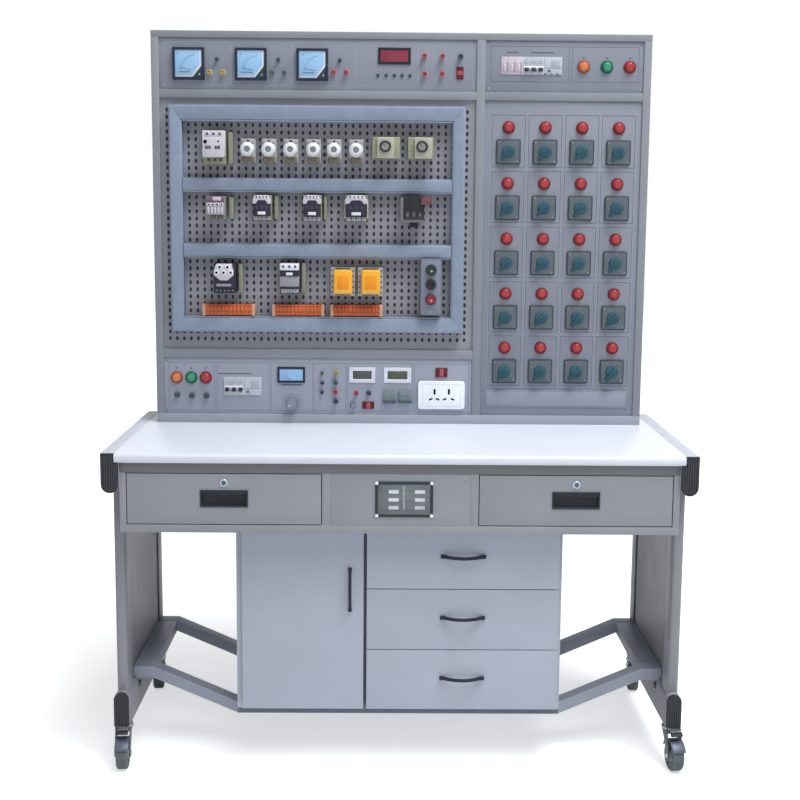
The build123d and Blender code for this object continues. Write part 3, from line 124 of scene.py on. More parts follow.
# Finishes by kind: each has its colour, or the name of the colour setting that it takes
FINISHES = {
    "laminate": {
        "worktop laminate": "worktop",
    },
    "board": {
        "fronts laminate": "fronts", "carcass laminate": "carcass",
    },
    "paint": {
        "frame paint": "frame", "beam paint": (196, 200, 212), "apron paint": "apron",
        # The side-frame sheets are darker than the frame: painted shade of their recess.
        # The strip under the worktop is darker: painted shadow of the worktop's overhang.
        "apron strip": (114, 114, 118), "frame sheet": (118, 121, 125), "drawer sheet": (150, 153, 160),
        # The console's bottom bar is lighter than its other bars: painted bounce light.
        "rail paint": (156, 162, 176), "console paint": "console", "console foot": (158, 163, 175),
        # The low panel is lighter than the upper ones: painted bounce light.
        "panel paint": "panels", "low panel paint": (156, 162, 176), "pegboard paint": "pegboard",
        "nameplate": (148, 153, 167),
    },
    "plastic": {
        "end cap": (42, 43, 50), "end cap ribs": (58, 59, 66), "pull black": (40, 42, 50),
        # The darker board band in this row is painted shade under and between the pedestal's fronts.
        "edge band": (186, 192, 203), "board shade": (108, 112, 125), "handle metal": (34, 38, 52),
        "pedal tip": (44, 46, 50), "wheel core": (120, 128, 130), "duct": "ducts", "duct lip": (148, 160, 174),
        "switch rim": (62, 69, 75), "switch block": (48, 50, 54), "knob": "knobs",
        "lens red dark": (104, 44, 50), "lens orange dark": (134, 78, 62), "lens green dark": (38, 82, 70),
        "lamp body": (60, 62, 66), "meter frame": (32, 41, 62), "meter corner": (52, 62, 66),
        "display frame": (32, 34, 40), "display white": (220, 225, 236), "post red": (140, 62, 74),
        "post red deep": (108, 42, 56), "post red ring": (178, 138, 146), "post yellow": (152, 144, 84),
        "post yellow deep": (118, 110, 58), "post yellow ring": (172, 170, 136), "post green": (64, 94, 86),
        "post green deep": (46, 68, 64), "post green ring": (128, 142, 140), "post black": (54, 61, 74),
        "post black deep": (38, 46, 58), "post black ring": (112, 118, 130), "fuse post": (58, 78, 88),
        "fuse post deep": (40, 58, 68), "rocker red": (176, 84, 92), "rocker dark": (84, 40, 50),
        "rocker frame": (118, 42, 52), "lever black": (30, 33, 38), "breaker white": (194, 198, 209),
        "breaker cream": (200, 194, 202), "breaker toggle": (190, 176, 188), "test green": (70, 110, 96),
        "socket white": (242, 247, 255), "regulator grey": (120, 128, 140), "twin terminal": (122, 133, 139),
        "twin terminal dark": (76, 90, 96), "device white": (202, 201, 209), "device grey": (150, 150, 158),
        "device olive": (146, 150, 128), "device black": (44, 44, 62), "device shade": (68, 68, 80),
        "device pink": (128, 102, 122), "device base": (142, 144, 126), "device cream": (188, 182, 166),
        "dial case": (152, 154, 130), "dial front": (174, 177, 162), "dial disc": (134, 132, 132),
        "dial ring": (44, 46, 48), "relay coil": (236, 152, 40), "relay socket": (172, 176, 174),
        "isolator body": (38, 39, 40), "isolator frame": (122, 126, 126), "isolator red": (112, 70, 80),
        # The fuse holder's brown foot in this row is painted shadow of the cap.
        "fuse foot": (118, 110, 92), "strip orange": (200, 104, 66), "strip deep": (120, 54, 36),
        "strip end": (206, 160, 132), "box grey": (128, 132, 148), "box shade": (104, 108, 124),
        "box ring": (74, 78, 82), "button green": (27, 54, 46), "button black": (44, 42, 52),
        # The pale button discs in this row are painted highlights.
        "button red": (134, 40, 52), "button glint": (140, 160, 150), "button glint red": (196, 150, 152),
        "window rim": (44, 55, 63), "window inside": (42, 54, 65), "module": (52, 68, 82),
        "module bar": (150, 160, 166), "module top": (250, 253, 255),
    },
    "satin": {
        "caster hood": (88, 94, 108), "switch plate": (90, 99, 106),
    },
    "metal": {
        "lock metal": (158, 166, 176), "lock core": (72, 86, 100), "runner zinc": (168, 170, 174),
        "bolt zinc": (96, 100, 104), "caster zinc": (176, 178, 182), "screw zinc": (140, 143, 148),
        "regulator ring": (132, 136, 144), "terminal screw": (76, 78, 92), "relay metal": (88, 88, 84),
    },
    "rubber": {
        "tread": (96, 104, 106),
    },
    "lens": {
        "lens red": "lamp_red", "lens red deep": (160, 48, 53), "lens orange": "lamp_orange",
        "lens orange deep": (190, 100, 62), "lens green": "lamp_green", "lens green deep": (42, 124, 94),
        "display red": (146, 52, 74), "display glass": (88, 87, 94), "display olive": (90, 96, 78),
        "relay amber": (246, 178, 50), "fuse window": (122, 126, 127),
    },
    "paper": {
        "meter face": (156, 197, 235), "meter edge": (214, 224, 234), "breaker label": (174, 182, 196),
        "label white": (226, 229, 236),
    },
    "ink": {
        "seam": (52, 54, 58), "panel line dark": (94, 99, 116), "panel line pale": (166, 171, 182),
        "panel mark": (92, 97, 112), "screw slot": (46, 48, 52), "slot dark": (74, 75, 82),
        "knob mark": (96, 124, 132), "meter ink": (104, 134, 164), "meter needle": (52, 62, 84),
        "dark hole": (24, 26, 32),
    },
    "ceramic": {
        "ceramic": (224, 228, 234), "ceramic shade": (170, 171, 168),
    },
    "glass": {
        "window clear": (248, 251, 254),
    },
}
KIND_OF = {name: kind for kind, names in FINISHES.items() for name in names}

# Kinds of finish: roughness, metal, colour spread, patches per metre, grains per metre, grain height,
# how much the edges are rubbed and how much the surface mirrors
KINDS = {
    "paint": (0.48, 0.0, 0.035, 7.0, 900.0, 0.00004, 0.30, 0.28),
    "laminate": (0.40, 0.0, 0.02, 5.0, 1600.0, 0.00002, 0.10, 0.35),
    "board": (0.50, 0.0, 0.03, 9.0, 1100.0, 0.00003, 0.20, 0.22),
    "plastic": (0.46, 0.0, 0.05, 40.0, 1400.0, 0.00003, 0.35, 0.20),
    "satin": (0.40, 0.30, 0.06, 60.0, 1800.0, 0.00002, 0.30, 0.30),
    "metal": (0.34, 0.75, 0.08, 50.0, 1200.0, 0.00003, 0.25, 0.40),
    "rubber": (0.68, 0.0, 0.10, 55.0, 1500.0, 0.00006, 0.30, 0.15),
    "lens": (0.22, 0.0, 0.08, 110.0, 700.0, 0.00001, 0.0, 0.30),
    "paper": (0.55, 0.0, 0.04, 30.0, 1800.0, 0.00001, 0.0, 0.10),
    "ink": (0.60, 0.0, 0.06, 60.0, 1800.0, 0.00001, 0.0, 0.0),
    "ceramic": (0.22, 0.0, 0.04, 50.0, 600.0, 0.00002, 0.0, 0.45),
    "glass": (0.06, 0.0, 0.02, 20.0, 600.0, 0.00001, 0.0, 0.05),
}
GLASS = {"Transmission Weight": 0.92, "IOR": 1.2}


def fill(tree, node, inputs):
    """Sets a node's inputs: a socket is linked, anything else is a value."""
    for name, value in inputs.items():
        if isinstance(value, bpy.types.NodeSocket):
            tree.links.new(value, node.inputs[name])
        else:
            node.inputs[name].default_value = value


def grow(tree, kind, inputs=(), **settings):
    """A new node in a tree, with its settings and its inputs."""
    node = tree.nodes.new("ShaderNode" + kind)
    for name, value in settings.items():
        setattr(node, name, value)
    fill(tree, node, dict(inputs))
    return node


def finish(name):
    """The material for a finish: a colour that varies a little, rubbed edges, a fine grain and an uneven gloss."""
    material = bpy.data.materials.get(name)
    if material:
        return material
    kind = KIND_OF[name]
    colour = FINISHES[kind][name]
    colour = getattr(bpy.context.scene.bench_colours, colour) if isinstance(colour, str) else paint(*colour)
    rough, metal, spread, patches, grain, height, wear, shine = KINDS[kind]
    material = bpy.data.materials.new(name)
    material.use_nodes = True
    tree = material.node_tree
    place = grow(tree, "TexCoord").outputs["Object"]

    def noise(scale, detail):
        return grow(tree, "TexNoise", {"Vector": place, "Scale": scale, "Detail": detail}).outputs["Fac"]

    patch = grow(tree, "ValToRGB", {"Fac": noise(patches, 5.0)})
    for stop, position, factor in zip(patch.color_ramp.elements, (0.3, 0.7), (1 - spread, 1 + spread)):
        stop.position = position
        stop.color = [min(1.0, part * factor) for part in colour] + [1]
    shade = patch.outputs["Color"]
    if wear:
        edge = grow(tree, "Attribute", attribute_name="edge").outputs["Fac"]
        rubbed = grow(tree, "Math", {0: edge, 1: noise(patches * 6, 6.0)}, operation="MULTIPLY").outputs[0]
        lighter = [min(1.0, part * (1 + wear) + 0.01) for part in colour] + [1]
        shade = grow(tree, "Mix", {0: rubbed, 6: shade, 7: lighter}, data_type="RGBA").outputs[2]
    bounds = {"To Min": max(0.04, rough * (1 - GLOSS_SPREAD)), "To Max": min(1.0, rough * (1 + GLOSS_SPREAD))}
    gloss = grow(tree, "MapRange", {**bounds, "Value": noise(patches * 2.3, 4.0)})
    bump = grow(tree, "Bump", {"Strength": 0.35, "Distance": height, "Height": noise(grain, 2.0)})
    shader = tree.nodes["Principled BSDF"]
    fill(tree, shader, {"Base Color": shade, "Roughness": gloss.outputs["Result"], "Normal": bump.outputs["Normal"]})
    fill(tree, shader, {"Metallic": metal, "Specular IOR Level": shine, **(GLASS if kind == "glass" else {})})
    return material


def middle(span):
    """The middle of a (low, high) pair."""
    return (span[0] + span[1]) / 2


def size(span):
    """The length of a (low, high) pair."""
    return span[1] - span[0]


def about(centre, width):
    """A (low, high) pair of a width about its centre."""
    return (centre - width / 2, centre + width / 2)


def within(span, low, high=None):
    """A (low, high) pair drawn in at both ends, by the same amount when one is given."""
    return (span[0] + low, span[1] - (low if high is None else high))


def share(span, low, high):
    """The part of a (low, high) pair between two shares of its length."""
    return (span[0] + size(span) * low, span[0] + size(span) * high)


def sided(side, low, high):
    """A span on the left (side -1) or the right (side 1), lowest first."""
    return tuple(sorted((side * low, side * high)))


def spaced(span, count):
    """The middles of equal parts of a (low, high) pair."""
    return [span[0] + (number + 0.5) * size(span) / count for number in range(count)]


def corners_in(grown):
    """The vertices among what an operator made."""
    return [part for part in grown if isinstance(part, bmesh.types.BMVert)]


def arc(centre, radius, start, end, steps):
    """Points along an arc, between two angles in degrees."""
    turns = [radians(start + (end - start) * n / steps) for n in range(steps + 1)]
    return [(centre[0] + radius * cos(turn), centre[1] + radius * sin(turn)) for turn in turns]


def rounded(x, z, radius, steps=4):
    """The outline of a rectangle with round corners."""
    (left, right), (low, high) = within(x, radius), within(z, radius)
    points = []
    for centre, start in (((right, high), 0), ((left, high), 90), ((left, low), 180), ((right, low), 270)):
        points += arc(centre, radius, start, start + 90, steps)
    return points


def at(x, y, z, turn=0.0, axis="Y"):
    """A place, and a turn about an axis in degrees."""
    return Matrix.Translation((x, y, z)) @ Matrix.Rotation(radians(turn), 4, axis)


def soften(part, radius, steps=2):
    """Rounds the sharp edges of a part."""
    part.normal_update()
    sharp = [e for e in part.edges if len(e.link_faces) == 2 and e.calc_face_angle() > radians(ROUNDED_ANGLE)]
    if radius and sharp:
        bmesh.ops.bevel(
            part, geom=sharp, offset=radius, offset_type="OFFSET", segments=steps, profile=0.5,
            affect="EDGES", clamp_overlap=True, material=-1,
        )
    return part


def block(x, y, z, radius=0.6, steps=2):
    """A block between two corners, with rounded edges."""
    part = bmesh.new()
    bmesh.ops.create_cube(part, size=1.0)
    bmesh.ops.scale(part, vec=(size(x), size(y), size(z)), verts=part.verts[:])
    bmesh.ops.translate(part, vec=(middle(x), middle(y), middle(z)), verts=part.verts[:])
    return soften(part, radius, steps)


def prism(outline, span, axis="y", radius=0.6, steps=2):
    """An outline run along an axis, with its sharp edges rounded."""
    part = bmesh.new()
    order = {"x": (2, 0, 1), "y": (0, 2, 1), "z": (0, 1, 2)}[axis]
    places = [[(a, b, span[0])[number] for number in order] for a, b in outline]
    face = part.faces.new([part.verts.new(place) for place in places])
    grown = bmesh.ops.extrude_face_region(part, geom=[face])["geom"]
    step = Vector((axis == "x", axis == "y", axis == "z")) * size(span)
    bmesh.ops.translate(part, vec=step, verts=corners_in(grown))
    bmesh.ops.recalc_face_normals(part, faces=part.faces[:])
    return soften(part, radius, steps)


def holed(x, y, z, gap_x, gap_z, radius=0.6):
    """A board between two corners with a rectangular opening from front to back."""
    part = bmesh.new()
    corners = ((x[0], z[0]), (x[1], z[0]), (x[1], z[1]), (x[0], z[1]))
    part.faces.new([part.verts.new((a, y[0], b)) for a, b in corners])
    cuts = [((edge, 0, 0), (1, 0, 0)) for edge in gap_x] + [((0, 0, edge), (0, 0, 1)) for edge in gap_z]
    for place, normal in cuts:
        geometry = part.verts[:] + part.edges[:] + part.faces[:]
        bmesh.ops.bisect_plane(part, geom=geometry, plane_co=place, plane_no=normal)
    inside = []
    for face in part.faces:
        centre = face.calc_center_median()
        if gap_x[0] < centre.x < gap_x[1] and gap_z[0] < centre.z < gap_z[1]:
            inside.append(face)
    bmesh.ops.delete(part, geom=inside, context="FACES")
    grown = bmesh.ops.extrude_face_region(part, geom=part.faces[:])["geom"]
    bmesh.ops.translate(part, vec=(0, size(y), 0), verts=corners_in(grown))
    bmesh.ops.recalc_face_normals(part, faces=part.faces[:])
    return soften(part, radius)


def turned(place, outline, steps=32):
    """A turned part about the line from front to back through a place, from (radius, y) corners."""
    part = bmesh.new()
    corners = [part.verts.new((place[0] + radius, y, place[1])) for radius, y in outline]
    edges = [part.edges.new(pair) for pair in zip(corners, corners[1:])]
    bmesh.ops.spin(
        part, geom=corners + edges, cent=(place[0], 0, place[1]), axis=(0, 1, 0), angle=2 * pi, steps=steps,
        use_merge=True,
    )
    bmesh.ops.remove_doubles(part, verts=part.verts[:], dist=0.002)
    bmesh.ops.recalc_face_normals(part, faces=part.faces[:])
    return part


def tray(x, y, z, rim, depth, radius=0.6, slope=0.3):
    """A block whose front is sunk inside a rim."""
    part = block(x, y, z, 0)
    part.normal_update()
    front = [face for face in part.faces if face.normal.y < -0.9]
    bmesh.ops.inset_region(part, faces=front, thickness=rim, use_even_offset=True, use_boundary=True)
    bmesh.ops.inset_region(part, faces=front, thickness=slope, depth=-depth, use_even_offset=True, use_boundary=True)
    return soften(part, radius)


class Shape:
    """A piece under construction: its faces, and the finishes that they have."""

    def __init__(self):
        self.mesh = bmesh.new()
        self.finishes = []

    def number(self, name):
        """The place of a finish in the list."""
        if name not in self.finishes:
            self.finishes.append(name)
        return self.finishes.index(name)

    def take(self, part, places):
        """Takes in a part once at each place, and ends it."""
        mesh = bpy.data.meshes.new("part")
        part.to_mesh(mesh)
        part.free()
        for place in places:
            mesh.transform(place)
            self.mesh.from_mesh(mesh)
            mesh.transform(place.inverted())
        bpy.data.meshes.remove(mesh)

    def add(self, name, part, place=Matrix()):
        """Takes in a part, in one finish."""
        number = self.number(name)
        for face in part.faces:
            face.material_index = number
        self.take(part, [place])

    def box(self, name, x, y, z, radius=0.6, place=Matrix(), steps=2):
        """Takes in a block."""
        self.add(name, block(x, y, z, radius, steps), place)

    def run(self, name, outline, span, axis="y", radius=0.6, steps=2, place=Matrix()):
        """Takes in an outline run along an axis."""
        self.add(name, prism(outline, span, axis, radius, steps), place)

    def spin(self, name, outline, steps=32, place=Matrix(), centre=(0, 0)):
        """Takes in a turned part."""
        self.add(name, turned(centre, outline, steps), place)

    def disc(self, name, centre, radius, y, steps=32, arris=0.5, place=Matrix()):
        """Takes in a round part between two depths, with a bevelled front edge."""
        arris = min(arris, radius / 3, size(y) / 3)
        outline = ((0, y[0]), (radius - arris, y[0]), (radius, y[0] + arris), (radius, y[1]), (0, y[1]))
        self.add(name, turned(centre, outline, steps), place)

    def repeat(self, other, places):
        """Takes in a whole shape once at each place, and ends it."""
        numbers = [self.number(name) for name in other.finishes]
        for face in other.mesh.faces:
            face.material_index = numbers[face.material_index]
        self.take(other.mesh, places)

    def piece(self, name, body, slot, *nodes):
        """Makes the shape an object that rides on a body and stands for CAD nodes."""
        bmesh.ops.scale(self.mesh, vec=(MM, MM, MM), verts=self.mesh.verts[:])
        edge = self.mesh.faces.layers.float.new("edge")
        for face in self.mesh.faces:
            width = face.calc_area() / max(side.calc_length() for side in face.edges)
            face.smooth = width < SMOOTH_WIDTH
            face[edge] = 1.0 if width < EDGE_WIDTH else 0.0
        mesh = bpy.data.meshes.new(name)
        self.mesh.to_mesh(mesh)
        self.mesh.free()
        mesh.set_sharp_from_angle(angle=radians(SHARP_ANGLE))
        for finish_name in self.finishes:
            mesh.materials.append(finish(finish_name))
        made = bpy.data.objects.new(name, mesh)
        bpy.context.scene.collection.objects.link(made)
        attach(made, body)
        if nodes:
            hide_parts(*nodes)
        return made


def screws(shape, places, radius=3.0, front=PANEL, proud=1.4):
    """Cross-head screws on a face that looks out of the front."""
    top = front - proud
    one = Shape()
    head = ((0, top), (radius * 0.55, top), (radius, front - proud * 0.35), (radius, front), (0, front))
    one.spin("screw zinc", head, 16)
    for turn in (45, 135):
        one.box("screw slot", about(0, radius * 1.2), (top - 0.05, top + 0.2), about(0, 0.7), 0, at(0, 0, 0, turn))
    shape.repeat(one, [at(x, 0, z) for x, z in places])


def border(shape, x, z, width, name, front=PANEL, proud=0.15):
    """A printed rectangle of thin lines."""
    y = (front - proud, front + 0.1)
    for edge in x:
        shape.box(name, about(edge, width), y, within(z, -width / 2), 0)
    for edge in z:
        shape.box(name, within(x, width / 2), y, about(edge, width), 0)


def beam_outline(side, inset=0.0):
    """Outline of a top beam: flat top, a rebate for the worktop and a round underside."""
    top, ledge, left = 790 - inset, 767 - inset, 668 + inset
    points = [(700 - inset, top), (left, top), (left, ledge), (left - 10, ledge)]
    return [(side * x, z) for x, z in points + arc((679, 716), 21 - inset, 180, 360, 12)]


def foot_outline(side, inset=0.0):
    """Outline of a foot beam: flat underside and round top."""
    points = arc((673.5, 171.5), 18.5 - inset, 0, 180, 12)
    points += [(655 + inset, 104 + inset), (692 - inset, 104 + inset)]
    return [(side * x, z) for x, z in points]


class BENCH_OT_worktop(Operator):
    """Builds the worktop with its rounded front edge"""

    bl_idname = "bench.worktop"
    bl_label = "Worktop"

    def execute(self, context):
        top = Shape()
        outline = arc((-316, 781), 9, 90, 180, 6) + arc((-316, 776), 9, 180, 270, 6)[1:]
        top.run("worktop laminate", outline + [(325, 767), (325, 790)], (-667.7, 667.7), "x", 0.5)
        top.piece("worktop", "bench", "worktop_laminate", "worktop")
        return {"FINISHED"}


class BENCH_OT_side_frames(Operator):
    """Builds both side frames: beams, posts, panels, feet and end caps"""

    bl_idname = "bench.side_frames"
    bl_label = "Side Frames"

    def execute(self, context):
        caps = Shape()
        for side, name in ((-1, "left"), (1, "right")):
            shape = Shape()
            shape.run("beam paint", beam_outline(side), (-315, 315), "y", 1.2)
            shape.run("frame paint", foot_outline(side), (-265, 265), "y", 1.0)
            x = sided(side, 660, 687)
            for y, nose in (((-250, -190), 0), ((215, 275), 1)):
                kept = [p for p in rounded(x, y, 9.5, 5) if (p[1] < middle(y)) == (nose == 0)]
                outline = sorted(kept, key=lambda p: -p[0]) + [(x[0], y[1 - nose]), (x[1], y[1 - nose])]
                shape.run("frame paint", outline, (176, 712), "z", 0.5)
            # The thin sheets between the posts are darker than the frame: painted shade of their recess
            for low, high, out in ((664, 665.5, -1), (681.5, 683, 1)):
                sheet = block(sided(side, low, high), (-190, 215), (176, 712), 0)
                sheet.normal_update()
                outer = [f for f in sheet.faces if f.normal.x * side * out > 0.9]
                bmesh.ops.inset_region(sheet, faces=outer, thickness=26, use_even_offset=True)
                bmesh.ops.inset_region(sheet, faces=outer, thickness=3, depth=-0.9, use_even_offset=True)
                shape.add("frame sheet", soften(sheet, 0.4))
            for y in (-190, 215):
                for x in (663.4, 683.6):
                    shape.box("seam", sided(side, *about(x, 1.2)), about(y, 1.6), (186, 700), 0)
            shape.piece("side_frame_" + name, "bench", "frame_paint", "side_frames")

            for out in (-1, 1):
                ribs = [(beam_outline, 325, x, (716 - sqrt(17.5**2 - (x - 679) ** 2), 784 if x > 670 else 763))
                        for x in [662 + number * 5.6 for number in range(7)]]
                ribs += [(foot_outline, 275, x, (107, 171.5 + sqrt(15.5**2 - (x - 673.5) ** 2)))
                         for x in [660 + number * 5.4 for number in range(6)]]
                for outline, reach in ((beam_outline, 325), (foot_outline, 275)):
                    caps.run("end cap", outline(side, 0.3), sided(out, reach - 10, reach - 1.4), "y", 1.4, 3)
                for outline, reach, x, z in ribs:
                    caps.box("end cap ribs", sided(side, *about(x, 3.0)), sided(out, reach - 3, reach), z, 0.8)
        caps.piece("frame_end_caps", "bench", "end_cap_plastic", "frame_end_caps")
        return {"FINISHED"}


class BENCH_OT_base_frame(Operator):
    """Builds the cranked base frame that carries the pedestal"""

    bl_idname = "bench.base_frame"
    bl_label = "Base Frame"

    def execute(self, context):
        shape = Shape()
        crank = [
            (-660, 215), (-613, 215), (-405, 125), (405, 125), (613, 215), (660, 215),
            (660, 185), (613, 185), (405, 95), (-405, 95), (-613, 185), (-660, 185),
        ]
        for y in ((-155, -110), (220, 265)):
            shape.run("rail paint", crank, y, "y", 2.4, 3)
        for side in (-1, 1):
            shape.box("rail paint", sided(side, 613, 660), (-110, 220), (185, 215), 2.4, steps=3)
            shape.box("rail paint", sided(side, 660, 664), (-155, 214.7), (190, 215), 0.5)
            one = Shape()
            one.run("bolt zinc", arc((0, 0), 8, 0, 300, 5), (-6, -1), "y", 0.8)
            one.disc("bolt zinc", (0, 0), 11, (-1.4, 0), 24, 0.4)
            one.disc("bolt zinc", (0, 0), 4.2, (-6.6, -5.5), 16, 0.4)
            shape.repeat(one, [at(side * 655, y, 164, -90 * side, "Z") for y in (-132.5, 175)])
        for x in (-300, 300):
            for y in (-132.5, 242.5):
                shape.disc("bolt zinc", (0, 0), 6, (-2, 0), 16, 0.5, at(x, y, 95, -90, "X"))
        shape.piece("base_frame", "bench", "frame_paint", "base_frame")
        return {"FINISHED"}


# Where each caster stands and which way it heads: x, y and an angle in degrees
CASTERS = {
    "front_left": (-673.5, -245.0, 4.0),
    "front_right": (673.5, -245.0, 8.0),
    "rear_left": (-673.5, 245.0, 184.0),
    "rear_right": (673.5, 245.0, 176.0),
}


class BENCH_OT_casters(Operator):
    """Builds the four braked swivel casters"""

    bl_idname = "bench.casters"
    bl_label = "Casters"

    def execute(self, context):
        for name, (x, y, heading) in CASTERS.items():
            place = at(x, y, 0, heading, "Z")
            stand = place @ Matrix.Rotation(radians(90), 4, "X")
            axle = place @ at(0, -30, 37.5, 90, "Z")
            fork = Shape()
            race = ((0, 96), (19, 96), (22.5, 97.5), (24, 99.5), (24, 102.5), (22.5, 103.7), (0, 103.7))
            fork.spin("caster zinc", race, 40, stand)
            fork.spin("caster hood", ((0, 89.8), (17, 89.8), (21, 92), (22.6, 96.2), (0, 96.2)), 40, stand)
            stem = ((0, 103), (7.5, 103), (7.5, 103.7), (5.5, 103.7), (5.5, 129), (0, 129))
            fork.spin("caster zinc", stem, 20, stand)
            cheek = [(-14.4, 99), (20, 99), (30, 74), (39, 40)] + arc((30, 37.5), 9.4, 15, -195, 10)
            cheek += [(2, 74), (-13, 90)]
            crown = ((-14, 90), (-14, 98), (16, 98), (23, 92), (20, 88))
            hood = arc((30, 37.5), 41.5, 28, 158, 14) + arc((30, 37.5), 39.4, 158, 28, 14)
            pedal = ((13, 97), (13, 101.2), (30, 100.8), (40, 97), (40, 92.6), (28, 96))
            tip = ((35, 94), (36, 99.4), (46, 95), (47.6, 91), (42, 88.6))
            for finish_name, outline, span, radius, steps in (
                ("caster hood", cheek, (-18.5, -16), 0.8, 2), ("caster hood", cheek, (16, 18.5), 0.8, 2),
                ("caster hood", crown, (-18, 18), 2.0, 3), ("caster hood", hood, (-16.2, 16.2), 0.4, 2),
                ("caster zinc", pedal, (-12, 12), 0.9, 2), ("pedal tip", tip, (-14.6, 14.6), 1.6, 3),
            ):
                fork.run(finish_name, [(-a, z) for a, z in outline], span, "x", radius, steps, place)
            fork.spin("caster zinc", ((0, -21), (4, -21), (4, 21), (0, 21)), 16, axle)
            for span in ((-21.4, -18.5), (18.5, 21.4)):
                fork.run("caster zinc", arc((0, 0), 7, 0, 300, 5), span, "y", 0.7, 2, axle)
            fork.piece("caster_fork_" + name, "caster_fork_" + name, "caster_steel", "caster_fork_" + name)

            wheel = Shape()
            tread = [(26, -12.6), (33, -13.8)] + [(31.5 + a, b) for a, b in arc((0, -8), 6, -90, 0, 5)]
            tread += [(31.5 + a, b) for a, b in arc((0, 8), 6, 0, 90, 5)] + [(33, 13.8), (26, 12.6)]
            wheel.spin("tread", [(25, 0)] + tread + [(25, 0)], 48, axle)
            core = [(5, -15.4), (11.5, -15.4), (12.5, -13), (14, -9.5), (22, -9.5), (24, -12), (26.6, -12.4)]
            wheel.spin("wheel core", core + [(r, -w) for r, w in reversed(core)], 40, axle)
            for number in range(6):
                spoke = axle @ at(0, 0, 0, 60 * number)
                for face in (-12, 9.4):
                    wheel.box("wheel core", (12.5, 24.5), (face, face + 2.6), about(0, 2.6), 0.5, spoke)
            wheel.piece("caster_wheel_" + name, "caster_wheel_" + name, "caster_tread", "caster_wheel_" + name)
        return {"FINISHED"}


class BENCH_OT_apron(Operator):
    """Builds the apron case, its window and its two drawers"""

    bl_idname = "bench.apron"
    bl_label = "Apron"

    def execute(self, context):
        shape = Shape()
        face, depth, wall = (-313, -305), (-305, 273.5), (601.5, 758.5)
        # A darker band right under the worktop: painted shadow of the worktop's overhang
        shape.box("apron strip", (-658, 658), face, (743, 766.5), 0.35)
        parts = [
            ((-658, 658), face, (600, 619)), ((-658, 658), (-305, 275), (600, 601.5)),
            ((-658, 658), (-305, 275), (758.5, 760)), ((-658, 658), (273.5, 275), (600, 760)),
        ]
        for side in (-1, 1):
            parts += [(sided(side, 643, 658), face, (619, 743)), (sided(side, 165, 184), face, (619, 743))]
            parts += [(sided(side, 656.5, 658), depth, wall), (sided(side, 174.5, 176), depth, wall)]
            parts += [(sided(side, 184, 643), y, (760, 767)) for y in ((-305, -285), (235, 255))]
            for edge in (186, 639.5):
                shape.box("runner zinc", sided(side, edge, edge + 1.5), (-305, 127), (601.5, 620.5), 0.3)
            shape.box("seam", sided(side, 164.7, 165), (-312.6, -306), (619, 743), 0)
        for part in parts:
            shape.box("apron paint", *part, 0.35)
        centre = holed((-164.7, 164.7), face, (619.3, 742.7), (-51.5, 69.5), (648, 718), 0.35)
        shape.add("apron paint", centre)
        screws(shape, [(x, z) for x in (-150, 150) for z in (633, 729)], 2.6, -313, 1.0)
        shape.piece("apron_case", "bench", "apron_paint", "apron_case")

        unit = Shape()
        rim = holed((-59, 77), (-316, -313.05), (640.5, 725.5), (-52, 70), (647.5, 718.5), 0.9)
        unit.add("window rim", rim)
        for x, z in ((-55.5, 644), (-55.5, 722), (73.5, 644), (73.5, 722)):
            unit.disc("module top", (x, z), 4.0, (-318, -315.8), 20, 0.8)
        unit.add("window inside", tray((-51.2, 69.2), (-313, -253), (648.3, 717.7), 1.4, 57, 0.3))
        for x in ((-46, 4), (14, 64)):
            for row in range(3):
                low = 651.5 + row * 21.8
                unit.box("module", x, (-281, -256), (low, low + 19), 0.8)
                unit.box("module top", within(x, 20, 7), (-283, -280.6), about(657.2 + row * 17.8, 7.5), 0.4)
                for dot in (x[0] + 5, x[0] + 11):
                    unit.disc("window inside", (dot, low + 10), 2.2, (-281.9, -280.6), 12, 0.3)
        unit.box("module bar", (6, 12), (-276, -254), (650, 716))
        unit.box("window clear", (-51.6, 69.6), (-315.2, -313.4), (647.9, 718.1), 0.2)
        unit.piece("window_unit", "bench", "window_plastic", "window_unit")

        for side, name in ((-1, "apron_drawer_left"), (1, "apron_drawer_right")):
            drawer = Shape()
            x, middle_x = sided(side, 186, 641), side * 413.5
            pull = about(middle_x, 113)
            drawer.add("apron paint", holed(x, (-313, -305.5), (621, 741), within(pull, 3), (664.5, 699.5), 1.3))
            drawer.add("pull black", tray(pull, (-315.5, -299), (661.5, 702.5), 4.2, 12, 1.2, 2.5))
            lip = [(-315.2, 692), (-315.2, 698), (-305, 698), (-304, 694), (-311, 690)]
            drawer.run("pull black", lip, within(pull, 6), "x", 0.8)
            drawer.disc("lock metal", (middle_x, 720), 9.5, (-316, -313), 32, 1.0)
            drawer.disc("lock core", (middle_x, 720), 6.2, (-316.5, -315.9), 24, 0.3)
            drawer.box("dark hole", about(middle_x, 1.4), (-316.6, -316.4), about(720, 6.4), 0)
            for part in (
                (within(x, 1.5), (-298.7, -297.2), (621, 735)), (within(x, 1.5), (125.5, 127), (621, 735)),
                (within(x, 1.5), (-297.2, 125.5), (621, 622.5)),
                ((x[0], x[0] + 1.5), (-305.5, 127), (621, 735)), ((x[1] - 1.5, x[1]), (-305.5, 127), (621, 735)),
            ):
                drawer.box("drawer sheet", *part, 0.3)
            drawer.piece(name, name, "apron_paint", name)
        return {"FINISHED"}


def bow_arc(half, rise, steps):
    """Points of a flat arc with this half span and rise."""
    radius = (half**2 + rise**2) / (2 * rise)
    reach = degrees(atan2(half, radius - rise))
    return arc((0, rise - radius), radius, 90 + reach, 90 - reach, steps)


